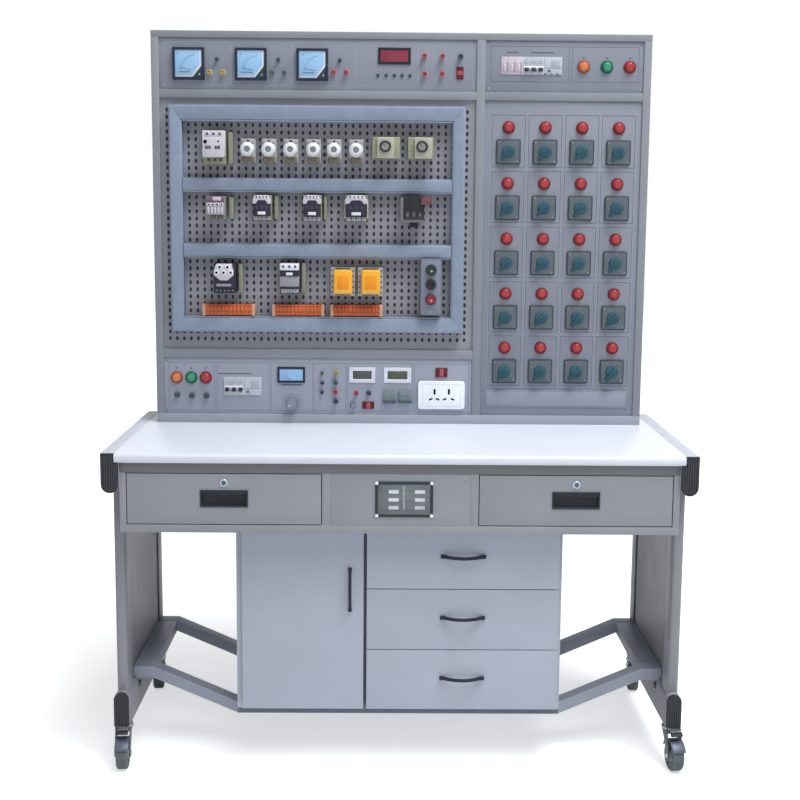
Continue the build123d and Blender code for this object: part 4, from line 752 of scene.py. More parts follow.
def handle(shape, x, z, front, upright=False):
    """A bow handle on a front."""
    outline = bow_arc(55, 26, 18) + bow_arc(43.5, 18.6, 18)[::-1]
    if upright:
        shape.run("handle metal", [(front - out, z + along) for along, out in outline], about(x, 7.4), "x", 2.0, 3)
    else:
        shape.run("handle metal", [(x + along, front - out) for along, out in outline], about(z, 7.4), "z", 2.0, 3)
    for end in (-49.5, 49.5):
        foot = (about(x, 9.4), about(z + end, 11)) if upright else (about(x + end, 11), about(z, 9.4))
        shape.box("handle metal", foot[0], (front - 9, front), foot[1], 3.0, steps=3)


class BENCH_OT_pedestal(Operator):
    """Builds the pedestal: carcass, three drawers and a door"""

    bl_idname = "bench.pedestal"
    bl_label = "Pedestal"

    def execute(self, context):
        shape = Shape()
        inner = (-378, 378)
        for part in (
            ((-396, -378), (-232, 245), (125, 600)), ((378, 396), (-232, 245), (125, 600)),
            (inner, (-232, 245), (125, 143)), (inner, (-232, 245), (582, 600)),
            ((-91.6, -73.6), (-232, 239), (143, 582)), (inner, (239, 245), (143, 582)),
            ((-378, -91.6), (-212, 239), (350, 368)),
        ):
            shape.box("carcass laminate", *part, 0.5)
        # The divider's front edge and the band along the bottom are darker: painted shade between and under the fronts
        for x, name in (((-396, -378), "edge band"), ((378, 396), "edge band"), ((-91.6, -73.6), "board shade")):
            shape.box(name, within(x, 0.6), (-232.25, -231), (139, 599), 0.1)
        shape.box("board shade", (-395.6, 395.6), (-232.25, -231), (125.4, 138.6), 0.1)
        low = [143.5 + 152.167 * n for n in range(3)]
        for start in low:
            for x in ((-73.6, -63.6), (368, 378)):
                shape.box("runner zinc", x, (-232, 188), (start + 3.5, start + 11.5), 0.5)
        screws(shape, [(-380, z) for z in (200, 540)], 3, -232, 0.2)
        shape.piece("pedestal_carcass", "bench", "carcass_board", "pedestal_carcass")

        for start, name in zip(low, ("bottom", "middle", "top")):
            drawer = Shape()
            z, box = (start, start + 150.167), (start + 12, start + 117)
            drawer.box("fronts laminate", (-78.7, 387), (-250.3, -232.3), z, 1.2, steps=3)
            for part in (
                ((-73.1, -61.1), (-232.3, 217.7), box), ((365.5, 377.5), (-232.3, 217.7), box),
                ((-61.1, 365.5), (205.7, 217.7), box),
                ((-61.1, 365.5), (-232.3, 205.7), (box[0], box[0] + 6)),
            ):
                drawer.box("drawer sheet", *part)
            handle(drawer, 154.15, middle(z) + 6, -250.3)
            node = "pedestal_drawer_" + name
            drawer.piece(node, node, "front_board", node)

        door = Shape()
        door.box("fronts laminate", (-381, -86.5), (-250.3, -232.3), (143.5, 598), 1.2, steps=3)
        handle(door, -119, 446, -250.3, True)
        door.piece("cabinet_door", "cabinet_door", "front_board", "cabinet_door")
        return {"FINISHED"}


class BENCH_OT_console(Operator):
    """Builds the console's shell, the bars round its panels and its rear cover"""

    bl_idname = "bench.console"
    bl_label = "Console Shell"

    def execute(self, context):
        shape = Shape()
        # The bottom bar is lighter than the other bars: painted bounce light off the worktop
        shape.box("console foot", (-643, 643), (BAR, PEG), (790, 814), 0.9)
        for x, z in (
            ((-643, 643), (1787, 1804)), ((-643, -623), (814, 1787)), ((623, 643), (814, 1787)),
            ((193, 215), (814, 1787)), ((-623, 193), (1636, 1657)), ((215, 623), (1636, 1657)),
            ((-623, 193), (964, 987)),
        ):
            shape.box("console paint", x, (BAR, PEG), z, 0.9)
        for part in (
            ((-643, -641), (PEG, 321), (790, 1804)), ((641, 643), (PEG, 321), (790, 1804)),
            ((-641, 641), (PEG, 321), (1802, 1804)), ((-641, 641), (PEG, 321), (790, 792)),
            ((-643, 643), (321, 323), (790, 1804)),
        ):
            shape.box("console paint", *part, 0.5)
        shape.piece("console_shell", "bench", "console_paint", "console_shell")

        cover = Shape()
        cover.add("console paint", tray((-630, 630), (321.2, 322.6), (803, 1791), 2, 0, 0.4))
        louvre = Shape()
        louvre.run("console paint", [(-0.2, 0), (2.0, 0), (2.0, 1.6), (-0.2, 7.5)], (-45, 45), "x", 0.4)
        louvre.box("dark hole", (-43, 43), (0, 0.5), (-3.2, 0), 0)
        cover.repeat(louvre, [at(x, 322.3, z) for x in (-430, -290, 290, 430) for z in range(1420, 1600, 14)])
        for x in (-616, -210, 210, 616):
            for z in (818, 1297, 1776):
                cover.disc("screw zinc", (x, z), 5.0, (322.3, 324.2), 20, 0.7)
                cover.box("screw slot", about(x, 6), (324, 324.35), about(z, 1.2), 0)
        cover.piece("console_rear_cover", "bench", "console_paint")
        return {"FINISHED"}


# Where the cam switches stand, row by row from the top
SWITCHES = [(278 + 95.3 * column, 1505.5 - 143.2 * row) for row in range(5) for column in range(4)]


class BENCH_OT_panels(Operator):
    """Builds the instrument panels, their printed lines and the bare nameplate"""

    bl_idname = "bench.panels"
    bl_label = "Front Panels"

    def execute(self, context):
        shape = Shape()
        left, right, top, low = (-622.7, 192.7), (215.3, 622.7), (1657.3, 1786.7), (814.3, 963.7)
        for x, z in ((left, top), (right, top), (right, (814.3, 1635.7)), (left, low)):
            # The low panel is lighter than the upper ones: painted bounce light off the worktop
            shape.box("low panel paint" if z == low else "panel paint", x, (PANEL, 139), z, 0.3)
            screws(shape, [(a, b) for a in within(x, 8) for b in within(z, 8)], 2.6)
        lines = [(about(x, 86), (z - 39, z + 94), 1.1, "dark") for x, z in SWITCHES]
        lines += [(about(x, 90), (z - 41, z + 96), 1.0, "pale") for x, z in SWITCHES]
        fields = ((-607, -441), (-438, -282), (-279, -121), (-116, 40), (43, 182))
        lines += [(x, (1669, 1776), 0.7, "pale") for x in fields]
        lines += [(x, (1684, 1772), 0.9, "dark") for x in ((229, 430), (438, 610))]
        fields = ((-611, -490), (-483, -345), (-340, -230), (-226, -142), (-138, 36), (41, 184))
        lines += [(x, (822, 950), 0.7, "dark") for x in fields]
        for x, z, width, shade in lines:
            border(shape, x, z, width, "panel line " + shade)
        mark = (PANEL - 0.12, PANEL + 0.1)
        for x, z in [(x, 1745) for x in (468, 528, 587)] + [(x, 935) for x in (-590, -551.5, -513)]:
            shape.disc("panel mark", (x, z), 2.34, (PANEL - 0.3, PANEL + 0.1), 12, 0.1)
        for x, z, width in ((284, 1757, 30), (362, 1757, 60), (-437, 921, 90), (-286, 892, 56)):
            shape.box("panel mark", about(x, width), mark, about(z, 2.6), 0)
        for turn in range(-135, 136, 27):
            x, z = -285 + 23 * sin(radians(turn)), 842 + 23 * cos(radians(turn))
            shape.box("panel mark", about(0, 0.8), mark, about(0, 4), 0, at(x, 0, z, turn))
        for x, z in SWITCHES:
            for side in (-1, 1):
                place = (x + side * 27 * sin(pi / 4), z + 42 * cos(pi / 4))
                shape.disc("panel mark", place, 1.2, (PANEL - 0.15, PANEL + 0.1), 10, 0.1)
        shape.box("nameplate", (230, 606), (133.2, PANEL), (837, 882), 0.8)
        border(shape, (232.5, 603.5), (839.5, 879.5), 0.8, "panel line dark", 133.2)
        shape.piece("front_panels", "bench", "panel_paint", "front_panels")
        return {"FINISHED"}


class BENCH_OT_pegboard(Operator):
    """Builds the perforated board behind the bay"""

    bl_idname = "bench.pegboard"
    bl_label = "Pegboard"

    def execute(self, context):
        details = context.scene.bench_details
        shape = Shape()
        shape.finishes = ["pegboard paint", "slot dark"]
        board = shape.mesh
        pitch, columns, rows, bridge = 18.5, 43, 33, 8.8
        wide, high = columns * pitch, rows * pitch
        bmesh.ops.create_grid(board, x_segments=columns, y_segments=rows, size=0.5)
        bmesh.ops.scale(board, vec=(wide, high, 1), verts=board.verts[:])
        cells = board.faces[:]
        bmesh.ops.inset_individual(board, faces=cells, thickness=bridge / 2, use_even_offset=True)
        cell_share = Vector((details.slot_width, details.slot_height, MM * (pitch - bridge))) / MM / (pitch - bridge)
        corners = []
        for cell in cells:
            space = Matrix.Translation(-cell.calc_center_median())
            bmesh.ops.scale(board, vec=cell_share, space=space, verts=cell.verts[:])
            corners += cell.verts[:]
        bmesh.ops.bevel(
            board, geom=corners, offset=2.0, offset_type="OFFSET", segments=1, profile=0.5, affect="VERTICES",
            clamp_overlap=True, material=-1,
        )
        slots = [face for face in board.faces if len(face.verts) == 8]
        sunk = bmesh.ops.extrude_discrete_faces(board, faces=slots)["faces"]
        for face in sunk:
            face.material_index = 1
        bmesh.ops.translate(board, vec=(0, 0, -1.6), verts=[v for face in sunk for v in face.verts])
        rim = [edge for edge in board.edges if edge.is_boundary]
        grown = bmesh.ops.extrude_edge_only(board, edges=rim)["geom"]
        bmesh.ops.scale(board, vec=(832 / wide, 665 / high, 1), verts=corners_in(grown))
        bmesh.ops.translate(board, vec=(2.5, 2.0, 0), verts=corners_in(grown))
        rim = [edge for edge in grown if isinstance(edge, bmesh.types.BMEdge)]
        grown = bmesh.ops.extrude_edge_only(board, edges=rim)["geom"]
        bmesh.ops.translate(board, vec=(0, 0, -2.0), verts=corners_in(grown))
        bmesh.ops.edgeloop_fill(board, edges=[e for e in grown if isinstance(e, bmesh.types.BMEdge)])
        bmesh.ops.transform(board, matrix=at(-217.5, PEG, 1309.5, 90, "X"), verts=board.verts[:])
        bmesh.ops.recalc_face_normals(board, faces=board.faces[:])
        shape.piece("pegboard", "bench", "pegboard_paint", "pegboard")
        return {"FINISHED"}


class BENCH_OT_ducts(Operator):
    """Builds the wiring ducts with their lids and lips"""

    bl_idname = "bench.ducts"
    bl_label = "Wiring Ducts"

    def execute(self, context):
        shape = Shape()
        for inset, shelf, y, radius, steps in ((0, 0, (113, PEG), 0.7, 2), (3, 0.5, (109, 114), 1.6, 3)):
            outer = within((-597, 165), inset) + within((1034, 1618), inset)
            inner = within((-564, 132), -inset) + within((1074, 1578), -inset)
            for a, b, c, d in ((0, 2, 0, 3), (1, 3, 1, 2), (0, 3, 1, 3), (1, 2, 0, 2)):
                side = [(outer[a], outer[b]), (inner[a], inner[b]), (inner[c], inner[d]), (outer[c], outer[d])]
                shape.run("duct", side, y, "y", radius, steps)
            for z in ((1398, 1433), (1229, 1264)):
                shape.box("duct", within((-563.6, 131.6), shelf), y, within(z, inset), radius, steps=steps)
        for z in (1578, 1074, 1398.4, 1229.4):
            shape.box("duct lip", (-563.4, 131.4), (111.6, 114), about(z, 3.2), 0.5)
        shape.piece("wire_ducts", "bench", "duct_plastic", "wire_ducts")
        return {"FINISHED"}


def bars(shape, name, centre, turns, width, y, reach, radius=0.0):
    """Small bars that point away from a centre, at angles in degrees."""
    for turn in turns:
        shape.box(name, about(0, width), y, reach, radius, at(centre[0], 0, centre[1], turn))


class BENCH_OT_switches(Operator):
    """Builds the twenty cam switches and the regulator"""

    bl_idname = "bench.switches"
    bl_label = "Cam Switches"

    def execute(self, context):
        one = Shape()
        one.run("switch rim", rounded((-32, 32), (-32, 32), 5), (132.2, PANEL), "y", 1.0)
        one.run("switch plate", rounded((-28.5, 28.5), (-28.5, 28.5), 3.5), (131, 133), "y", 0.5)
        bars(one, "switch rim", (0, 0), range(0, 360, 45), 1.0, (130.9, 131.2), (22, 25))
        screws(one, [(-24.5, 24.5), (24.5, -24.5)], 1.9, 131, 0.8)
        one.disc("switch block", (0, 0), 11, (130.9, 141), 24, 0.3)
        one.box("switch block", (-23, 23), (139, 199), (-23, 23), 1.5)
        shape = Shape()
        shape.repeat(one, [at(x, 0, z) for x, z in SWITCHES])
        regulator = (-285, 842)
        shape.disc("regulator ring", regulator, 20, (135.6, PANEL), 36, 0.6)
        shape.box("switch block", about(regulator[0], 24), (139, 169), about(regulator[1], 24), 1)
        shape.piece("rotary_control_bodies", "bench", "switch_plate_plastic", "rotary_control_bodies")

        skirt = ((0, 122.7), (13.6, 122.7), (15.6, 123.6), (17, 127.4), (17, 130.7), (3, 130.7), (3, 160), (0, 160))
        grip = [(-30.4, 2.2), (-28.2, 4.1), (-8, 5.5), (11, 5.5), (15.4, 4.0), (16.4, 0)]
        outline = [(a, -b) for a, b in grip[:-1]] + grip[::-1]
        for number, (x, z) in enumerate(SWITCHES):
            knob = Shape()
            knob.spin("knob", skirt, 36, at(x, 0, z))
            part = prism(outline, (108.7, 123.4), "y", 2.2, 3)
            # The front of the grip's long end falls away towards its tip
            for vertex in part.verts:
                if vertex.co.y < 116:
                    vertex.co.y += max(0.0, -vertex.co.x - 12) * 0.3
            # No two knobs point quite the same way
            drift = 4.0 * sin(number * 2.4)
            place = at(x, 0, z, -degrees(context.scene.bench_details.knob_turn) - drift)
            knob.add("knob", part, place)
            knob.box("knob mark", (4, 13), (108.3, 109.0), about(0, 1.6), 0.2, place)
            node = f"cam_knob_{number // 4 + 1}_{number % 4 + 1}"
            knob.piece(node, node, "knob_teal", node)

        knob = Shape()
        profile = ((0, 115), (12.4, 115), (14.2, 116.6), (15.4, 127), (16.4, 129.6), (16.4, 130.7), (3, 130.7))
        knob.spin("regulator grey", profile + ((3, 159), (0, 159)), 40, centre=regulator)
        bars(knob, "regulator grey", regulator, range(0, 360, 18), 1.3, (117, 128), (13.6, 15.6), 0.3)
        bars(knob, "label white", regulator, [-120], 1.6, (114.8, 115.4), (3, 12))
        knob.piece("regulator_knob", "regulator_knob", "regulator_grey", "regulator_knob")
        return {"FINISHED"}


# Where the pilot lamps stand, by the colour of their lens: one over each switch and two rows of three
LAMPS = {
    "lens red": [(x, z + 62.5) for x, z in SWITCHES] + [(587, 1722.5), (-513, 910)],
    "lens orange": [(468, 1722.5), (-590, 910)],
    "lens green": [(528, 1722.5), (-551.5, 910)],
}


class BENCH_OT_lamps(Operator):
    """Builds the pilot lamps: bezel, domed lens and body"""

    bl_idname = "bench.lamps"
    bl_label = "Pilot Lamps"

    def execute(self, context):
        shape = Shape()
        bezel = ((13, 134.6), (13, 133.2), (14.6, 132.8), (16.3, 134.2), (16.5, PANEL), (10.5, PANEL))
        bezel += ((10.5, 174), (0, 174), (0, 134.6))
        skirt = ((9.4, 126.6), (11.6, 128.2), (13.2, 131.2), (13.6, 135.6), (9.0, 135.6), (9.0, 126.8), (9.4, 126.6))
        lens = ((0, 125), (4.5, 125.2), (7.6, 125.9), (9.6, 127.0), (9.6, 136), (0, 136))
        ridge = ((5.6, 125.9), (6.2, 124.9), (6.8, 126.2), (5.6, 126.6), (5.6, 125.9))
        for colour, places in LAMPS.items():
            one = Shape()
            one.spin(colour + " dark", bezel)
            one.spin(colour + " deep", skirt)
            one.spin(colour, lens)
            one.spin(colour, ridge, 28)
            shape.repeat(one, [at(x, 0, z) for x, z in places])
        shape.piece("pilot_lamps", "bench", "lamp_lens", "pilot_lamps")
        return {"FINISHED"}


def needle_meter(shape, x, z, half):
    """A square needle meter: dark frame, pale scale with one corner cut off, arc, ticks and needle."""
    shape.add("meter frame", tray(about(x, 2 * half), (125, PANEL), about(z, 2 * half), 6.2, 4.0, 1.0))
    rim = half - 6.6
    for name, outline, y, radius in (
        ("meter edge", [(-rim, -rim), (rim - 23, -rim), (rim, 29 - rim), (rim, rim), (-rim, rim)], (127.4, 129.4), 0.4),
        ("meter face", [(-rim, 5 - rim), (rim - 26, 5 - rim), (rim - 5, 31 - rim), (rim - 5, rim - 2), (-rim, rim - 2)],
         (127.1, 128), 0.2),
        ("meter corner", [(rim, -rim), (rim, 27.5 - rim), (rim - 21.5, -rim)], (126.4, 129), 0.4),
    ):
        shape.run(name, [(x + a, z + b) for a, b in outline], y, "y", radius)
    pivot = (x + rim - 14, z - rim + 16)
    for number in range(13):
        reach = 42 if number % 3 else 44
        bars(shape, "meter ink", pivot, [-6 - number * 6.5], 0.7, (126.95, 127.2), (38.5, reach))
    bars(shape, "meter ink", pivot, [-9.25 - number * 6.5 for number in range(12)], 4.6, (126.95, 127.2), (38.2, 38.8))
    bars(shape, "meter needle", pivot, [-80], 0.8, (126.7, 127.0), (12, 42))
    shape.disc("meter ink", (x - rim + 8, z + rim - 9), 1.8, (126.9, 127.2), 12, 0.1)
    shape.box("meter ink", about(x - 10, 30), (126.9, 127.2), about(z - rim + 13, 3.0), 0)
    screws(shape, [(x + rim - 6, z - rim + 7)], 2.4, 126.4, 0.8)
    shape.disc("lamp body", (x, z), 30, (PANEL, 182), 32, 1.0)


class BENCH_OT_meters(Operator):
    """Builds the needle meters and the digital displays"""

    bl_idname = "bench.meters"
    bl_label = "Meters"

    def execute(self, context):
        shape = Shape()
        for x in (-546.5, -387, -229.5):
            needle_meter(shape, x, 1721, 40.5)
        shape.add("meter frame", tray((-323, -250), (131, PANEL), (898, 940), 5.2, 2.2, 0.9))
        shape.box("meter face", (-317.4, -255.6), (132.6, 134), (903.6, 934.4), 0.3)
        for number in range(9):
            reach = 25 if number % 2 else 27
            bars(shape, "meter ink", (-286.5, 901), [number * 13 - 52], 0.7, (132.4, 132.7), (21, reach))
        bars(shape, "meter needle", (-286.5, 901), [-48], 0.7, (132.2, 132.5), (6, 23))
        shape.add("display frame", tray((-61, 23), (134, PANEL), (1724, 1766), 6.4, 1.6, 0.9))
        shape.box("display red", (-54, 16), (135, 136.4), (1731, 1759.4), 0.3)
        for x, glass in (((-133, -64), "display glass"), ((-41, 31), "display olive")):
            shape.add("display white", tray(x, (134, PANEL), (899, 940), 8.6, 1.8, 1.0, 0.8))
            shape.box(glass, within(x, 9.4), (135.2, 136.4), (908.4, 930.6), 0.3)
        for span, z, wide, high, front in (
            ((-42, 4), 1745, 9, 17, 134.9), ((-117, -80), 919.5, 6, 12, 135.1), ((-24, 14), 919.5, 6, 12, 135.1),
        ):
            y = (front, front + 0.4)
            for number in range(4):
                x = span[0] + size(span) * number / 3
                for offset in (-high / 2, 0, high / 2):
                    shape.box("display frame", about(x, wide * 0.7), y, about(z + offset, 0.9), 0)
                for edge in (-wide / 2, wide / 2):
                    shape.box("display frame", about(x + edge, 0.9), y, about(z, high), 0)
        shape.piece("panel_meters", "bench", "meter_plastic", "panel_meters")
        return {"FINISHED"}


# Depths of the labels on a breaker's front, and how far down its levers point, in degrees
MARKED = (133.7, 134.2)
LEVER_TILT = 35


def breaker(shape, x, z, poles, name, lever=None):
    """A modular breaker's nose, with lines between its poles and a recess where a lever sits."""
    parts, lines = [(x, z, 0.5)], [within(z, 1)]
    if lever:
        gap = about(lever, 13.2)
        parts = [(x, (z[0], gap[0]), 0.25), (x, (gap[1], z[1]), 0.25)]
        parts += [((x[0], x[0] + 1.7), gap, 0.25), ((x[1] - 1.7, x[1]), gap, 0.25)]
        lines = [(z[0] + 1, lever - 7), (lever + 7, z[1] - 1)]
        shape.box("device grey", within(x, 1.7), (142, 192), gap, 0.2)
    for across, upright, radius in parts:
        shape.box(name, across, (134, 192), upright, radius)
    for number in range(1, poles):
        for line in lines:
            shape.box("panel line dark", about(x[0] + number * size(x) / poles, 0.5), (133.8, 134.2), line, 0)


class BENCH_OT_breakers(Operator):
    """Builds the circuit breakers and their ganged levers"""

    bl_idname = "bench.breakers"
    bl_label = "Circuit Breakers"

    def execute(self, context):
        shape = Shape()
        top, low = (1702, 1746), (864, 912)
        ganged = (("upper", (312, 366), top, 1718), ("lower", (-465, -411), low, 884))
        breaker(shape, (256, 310), top, 3, "breaker cream")
        shape.box("breaker white", (310, 312), (134, 192), top, 0.3)
        for _, x, z, height in ganged:
            breaker(shape, x, z, 3, "breaker white", height)
        for centre in spaced((256, 310), 3):
            shape.box("breaker toggle", about(centre, 11), (132.8, 134.4), (1707, 1731), 0.5)
            shape.box("breaker cream", about(centre, 6), (131.6, 134), (1710, 1727), 1.2)
            shape.box("device pink", about(centre + 5.6, 2.2), (132.4, 134.2), (1706, 1732), 0.3)
            shape.disc("breaker toggle", (centre, 1741), 2.0, (133.6, 134.2), 14, 0.2)
        for _, x, z, _ in ganged:
            for centre in spaced(x, 3):
                shape.box("breaker label", about(centre, 12), MARKED, (z[1] - 17, z[1] - 8), 0.1)
                shape.disc("device grey", (centre, z[1] - 4), 1.8, MARKED, 12, 0.1)
        for x, z, test, label in (
            ((366.5, 412), top, (379, 1711), (1721, 1738)), ((-410.5, -366), low, (-402, 873), (885, 902)),
        ):
            breaker(shape, x, z, 1, "breaker white")
            shape.box("breaker label", within(x, 16, 5), MARKED, label, 0.1)
            shape.box("panel line dark", within(x, 3), MARKED, about(label[0] - 3, 1.0), 0)
            shape.box("test green", about(test[0], 7), (131.8, 134.2), about(test[1], 5.5), 0.8)
        for x in (369, 385, 400):
            shape.box("device shade", about(x, 7), (133.4, 134.2), (1702.4, 1704.6), 0.1)
        shape.piece("circuit_breakers", "bench", "breaker_plastic", "circuit_breakers")

        tilt = radians(LEVER_TILT)
        along, across = Vector((-cos(tilt), -sin(tilt))), Vector((sin(tilt), -cos(tilt)))
        for name, x, _, height in ganged:
            lever = Shape()
            hub = [(0, x[0] + 2), (5.2, x[0] + 2), (6, x[0] + 3), (6, x[1] - 3), (5.2, x[1] - 2), (0, x[1] - 2)]
            lever.spin("breaker white", hub, 24, at(0, 135, height, -90, "Z"))
            root = Vector((135, height))
            for centre in spaced(x, 3):
                for half, reach, wide in ((4.6, 11, 10.5), (2.6, 15, 7.2)):
                    tip, back, front = root + along * reach, across * half, across * half * 0.7
                    corners = (root + back, tip + front, tip - front, root - back)
                    lever.run("lever black", [tuple(corner) for corner in corners], about(centre, wide), "x", 0.9)
            node = "breaker_lever_" + name
            lever.piece(node, node, "lever_black", node)
        return {"FINISHED"}


def post(shape, x, z, colour, radius=6.2):
    """A binding post: pale collar, coloured knob and a sunk middle of the same colour."""
    shape.disc(colour + " ring", (x, z), radius + 1.8, (135.6, PANEL), 24)
    cap = ((0.36, 123.8), (0.4, 122.6), (0.8, 122), (1, 123.4), (0.93, 131), (0.7, 135.8))
    shape.spin(colour, [(0, 123.8)] + [(radius * part, y) for part, y in cap] + [(0, 135.8)], 24, centre=(x, z))
    shape.disc(colour + " deep", (x, z), radius * 0.42, (123.2, 124.4), 14, 0.3)


def rocker(shape, x, z, upright=True):
    """A rocker switch with its frame: a lighter middle between a dark top and a dark bottom."""
    shape.add("rocker frame", tray(x, (133.6, PANEL), z, 1.8, 1.4, 0.6))
    span, cross = (within(z, 2.2), within(x, 2.2)) if upright else (within(x, 2.2), within(z, 2.2))
    low, high = share(span, 0.3, 0.7)
    for name, outline in (
        ("rocker dark", [(136, span[0]), (132.8, span[0]), (133.6, low), (136, low)]),
        ("rocker red", [(136, low), (132.6, low), (131.6, high), (136, high)]),
        ("rocker dark", [(136, high), (132.4, high), (130.8, span[1]), (136, span[1])]),
    ):
        if upright:
            shape.run(name, outline, cross, "x", 0.4)
        else:
            shape.run(name, [(a, b) for b, a in outline], cross, "z", 0.4)


# Where the binding posts stand
POSTS = {
    "post yellow": ((-493, 1700), (-459, 1700), (-168, 926)),
    "post green": ((-332, 1700), (-301, 1700), (-169, 899), (-205, 924)),
    "post red": (
        (-175, 1702), (-143, 1702), (58, 1745), (104, 1745), (59, 1700), (104, 1701), (-169, 874), (-114, 872),
    ),
    "post black": ((-204, 898), (-205, 873), (-168, 849), (-81, 872), (151, 1745)),
}


class BENCH_OT_outlets(Operator):
    """Builds the mains socket, binding posts, rockers and small knobs"""

    bl_idname = "bench.outlets"
    bl_label = "Outlets And Posts"

    def execute(self, context):
        socket = Shape()
        socket.run("socket white", rounded((50, 174), (830, 905), 8), (128, PANEL), "y", 1.8, 3)
        border(socket, (62, 162), (838, 897), 0.5, "breaker label", 128, 0.1)
        pin = (127.8, 128.4)
        for x in (94, 132):
            socket.box("dark hole", about(x, 5.5), pin, about(877, 15), 0.3)
        for x, turn in ((84, 68), (102, -68), (121, 68), (142, -68)):
            bars(socket, "dark hole", (x, 857), [turn], 4.5, pin, (-5, 5), 0.3)
        socket.box("breaker white", (54, 170), (PANEL, 172), (834, 901), 1)
        socket.piece("mains_socket", "bench", "socket_white", "mains_socket")

        shape = Shape()
        for x in (-474, -317, -159):
            shape.disc("post black ring", (x, 1733), 6.0, (135.8, PANEL), 20, 0.4)
            shape.disc("post black", (x, 1733), 4.6, (126, 136), 20, 0.8)
        for colour, places in POSTS.items():
            for x, z in places:
                small = x < -200 and z < 1000
                post(shape, x, z, colour, 4.2 if small else 6.2)
        for x in (-61, -40, -19, 1, 21):
            shape.disc("post black", (x, 1696), 4.4, (133.6, PANEL), 18, 0.8)
        for x, z in ((-589, 864), (-550, 862), (-512, 862)):
            shape.disc("post black ring", (x, z), 8.8, (135.4, PANEL), 24)
            fuse = ((0, 124), (5.4, 124), (6.8, 125.6), (7.4, 135.6), (0, 135.6))
            shape.spin("fuse post", fuse, 24, centre=(x, z))
            shape.box("fuse post deep", about(x, 8), (123.7, 124.2), about(z, 1.4), 0)
        rocker(shape, (141, 159), (1688, 1719))
        rocker(shape, (96, 128), (915, 940), False)
        rocker(shape, (-98, -66), (829, 848), False)
        shape.disc("post black ring", (-123, 837), 8.5, (135.4, PANEL), 24)
        small = ((0, 125), (4.6, 125), (6, 126.4), (6.4, 135.6), (0, 135.6))
        shape.spin("regulator grey", small, 24, centre=(-123, 837))
        for x in (-25, 16):
            shape.box("twin terminal", about(x, 33), (128, PANEL), (852, 880), 1.2)
            shape.box("twin terminal dark", about(x, 35), (126, PANEL), (845, 853), 1.0)
            for hole in (x - 8, x + 8):
                shape.disc("post green ring", (hole, 868), 5, (126, 129), 18, 0.8)
                shape.disc("twin terminal dark", (hole, 868), 2.4, (125.4, 126.2), 12, 0.3)
        shape.piece("panel_posts_and_rockers", "bench", "meter_plastic")
        return {"FINISHED"}


def terminals(shape, x, z, count, front, name, screw="terminal screw"):
    """A row of terminal blocks, each with its screw."""
    pitch = size(x) / count
    reach = min(pitch * 0.27, size(z) * 0.32)
    for centre in spaced(x, count):
        shape.box(name, about(centre, pitch - 1.6), (front, front + 8), z, 0.7)
        shape.disc(screw, (centre, middle(z)), reach, (front - 0.4, front + 0.5), 14, 0.2)
        shape.box("dark hole", about(centre, reach * 1.4), (front - 0.5, front - 0.3), about(middle(z), 0.7), 0)


def contactor_foot(shape, x, z, bar, name):
    """A contactor's foot, and the low block beside it."""
    shape.box(name, x, (BASE, PEG), z, 1.2)
    if bar:
        shape.box("device base", bar, (PEG - 24, PEG), within(z, 2), 0.8)


def pale_contactor(shape, x, z, bar):
    """A contactor with a white stepped body and an olive foot."""
    high = size(z)
    contactor_foot(shape, x, z, bar, "device olive")
    shape.box("device white", x, (STEP, BASE + 2), share(z, 0.24, 1), 1.4)
    shape.box("device white", within(x, 2), (FRONT, STEP + 2), share(z, 0.2, 0.8), 1.6)
    terminals(shape, within(x, 5), (z[1] - high * 0.17, z[1] - 3), 3, STEP - 1, "device white")
    terminals(shape, within(x, 8, 5), (z[0] + 4, z[0] + high * 0.2), 3, BASE - 2, "device olive", "device shade")
    shape.disc("dark hole", (x[0] + 9, z[1] - high * 0.34), 4.6, (FRONT - 1.5, FRONT + 1), 18)
    shape.disc("terminal screw", (x[1] - 16, z[1] - high * 0.33), 2.8, (FRONT - 0.6, FRONT + 1), 14, 0.3)
    height = z[1] - high * 0.51
    for centre in (x[0] + 16, x[1] - 18):
        shape.box("device pink", about(centre, 15), (FRONT - 0.5, FRONT + 0.5), about(height, 9), 0.3)
        for mark in (centre - 4, centre + 4):
            shape.box("device shade", about(mark, 3), (FRONT - 0.7, FRONT), about(height, 5), 0.2)


def mixed_contactor(shape, x, z, bar):
    """A contactor with a grey ribbed body and a pink and white top."""
    high = size(z)
    contactor_foot(shape, x, z, bar, "device base")
    shape.box("device pink", within(x, 4, 2), (STEP, BASE + 2), share(z, 0.74, 1), 1.2)
    shape.box("device white", within(x, 16, 10), (STEP - 2, BASE), (z[1] - high * 0.2, z[1] - 3), 1.2)
    shape.box("device grey", x, (FRONT, BASE + 2), share(z, 0.2, 0.73), 1.2)
    terminals(shape, within(x, 2), share(z, 0.58, 0.7), 4, FRONT - 1, "device white", "dark hole")
    for number in range(5):
        centre = x[0] + 6 + number * (size(x) - 12) / 4
        shape.box("device white", about(centre, 4.2), (FRONT - 1.5, FRONT + 1), share(z, 0.26, 0.54), 0.8)
    terminals(shape, within(x, 8, 6), (z[0] + 2, z[0] + high * 0.17), 3, BASE - 2, "device shade", "device olive")


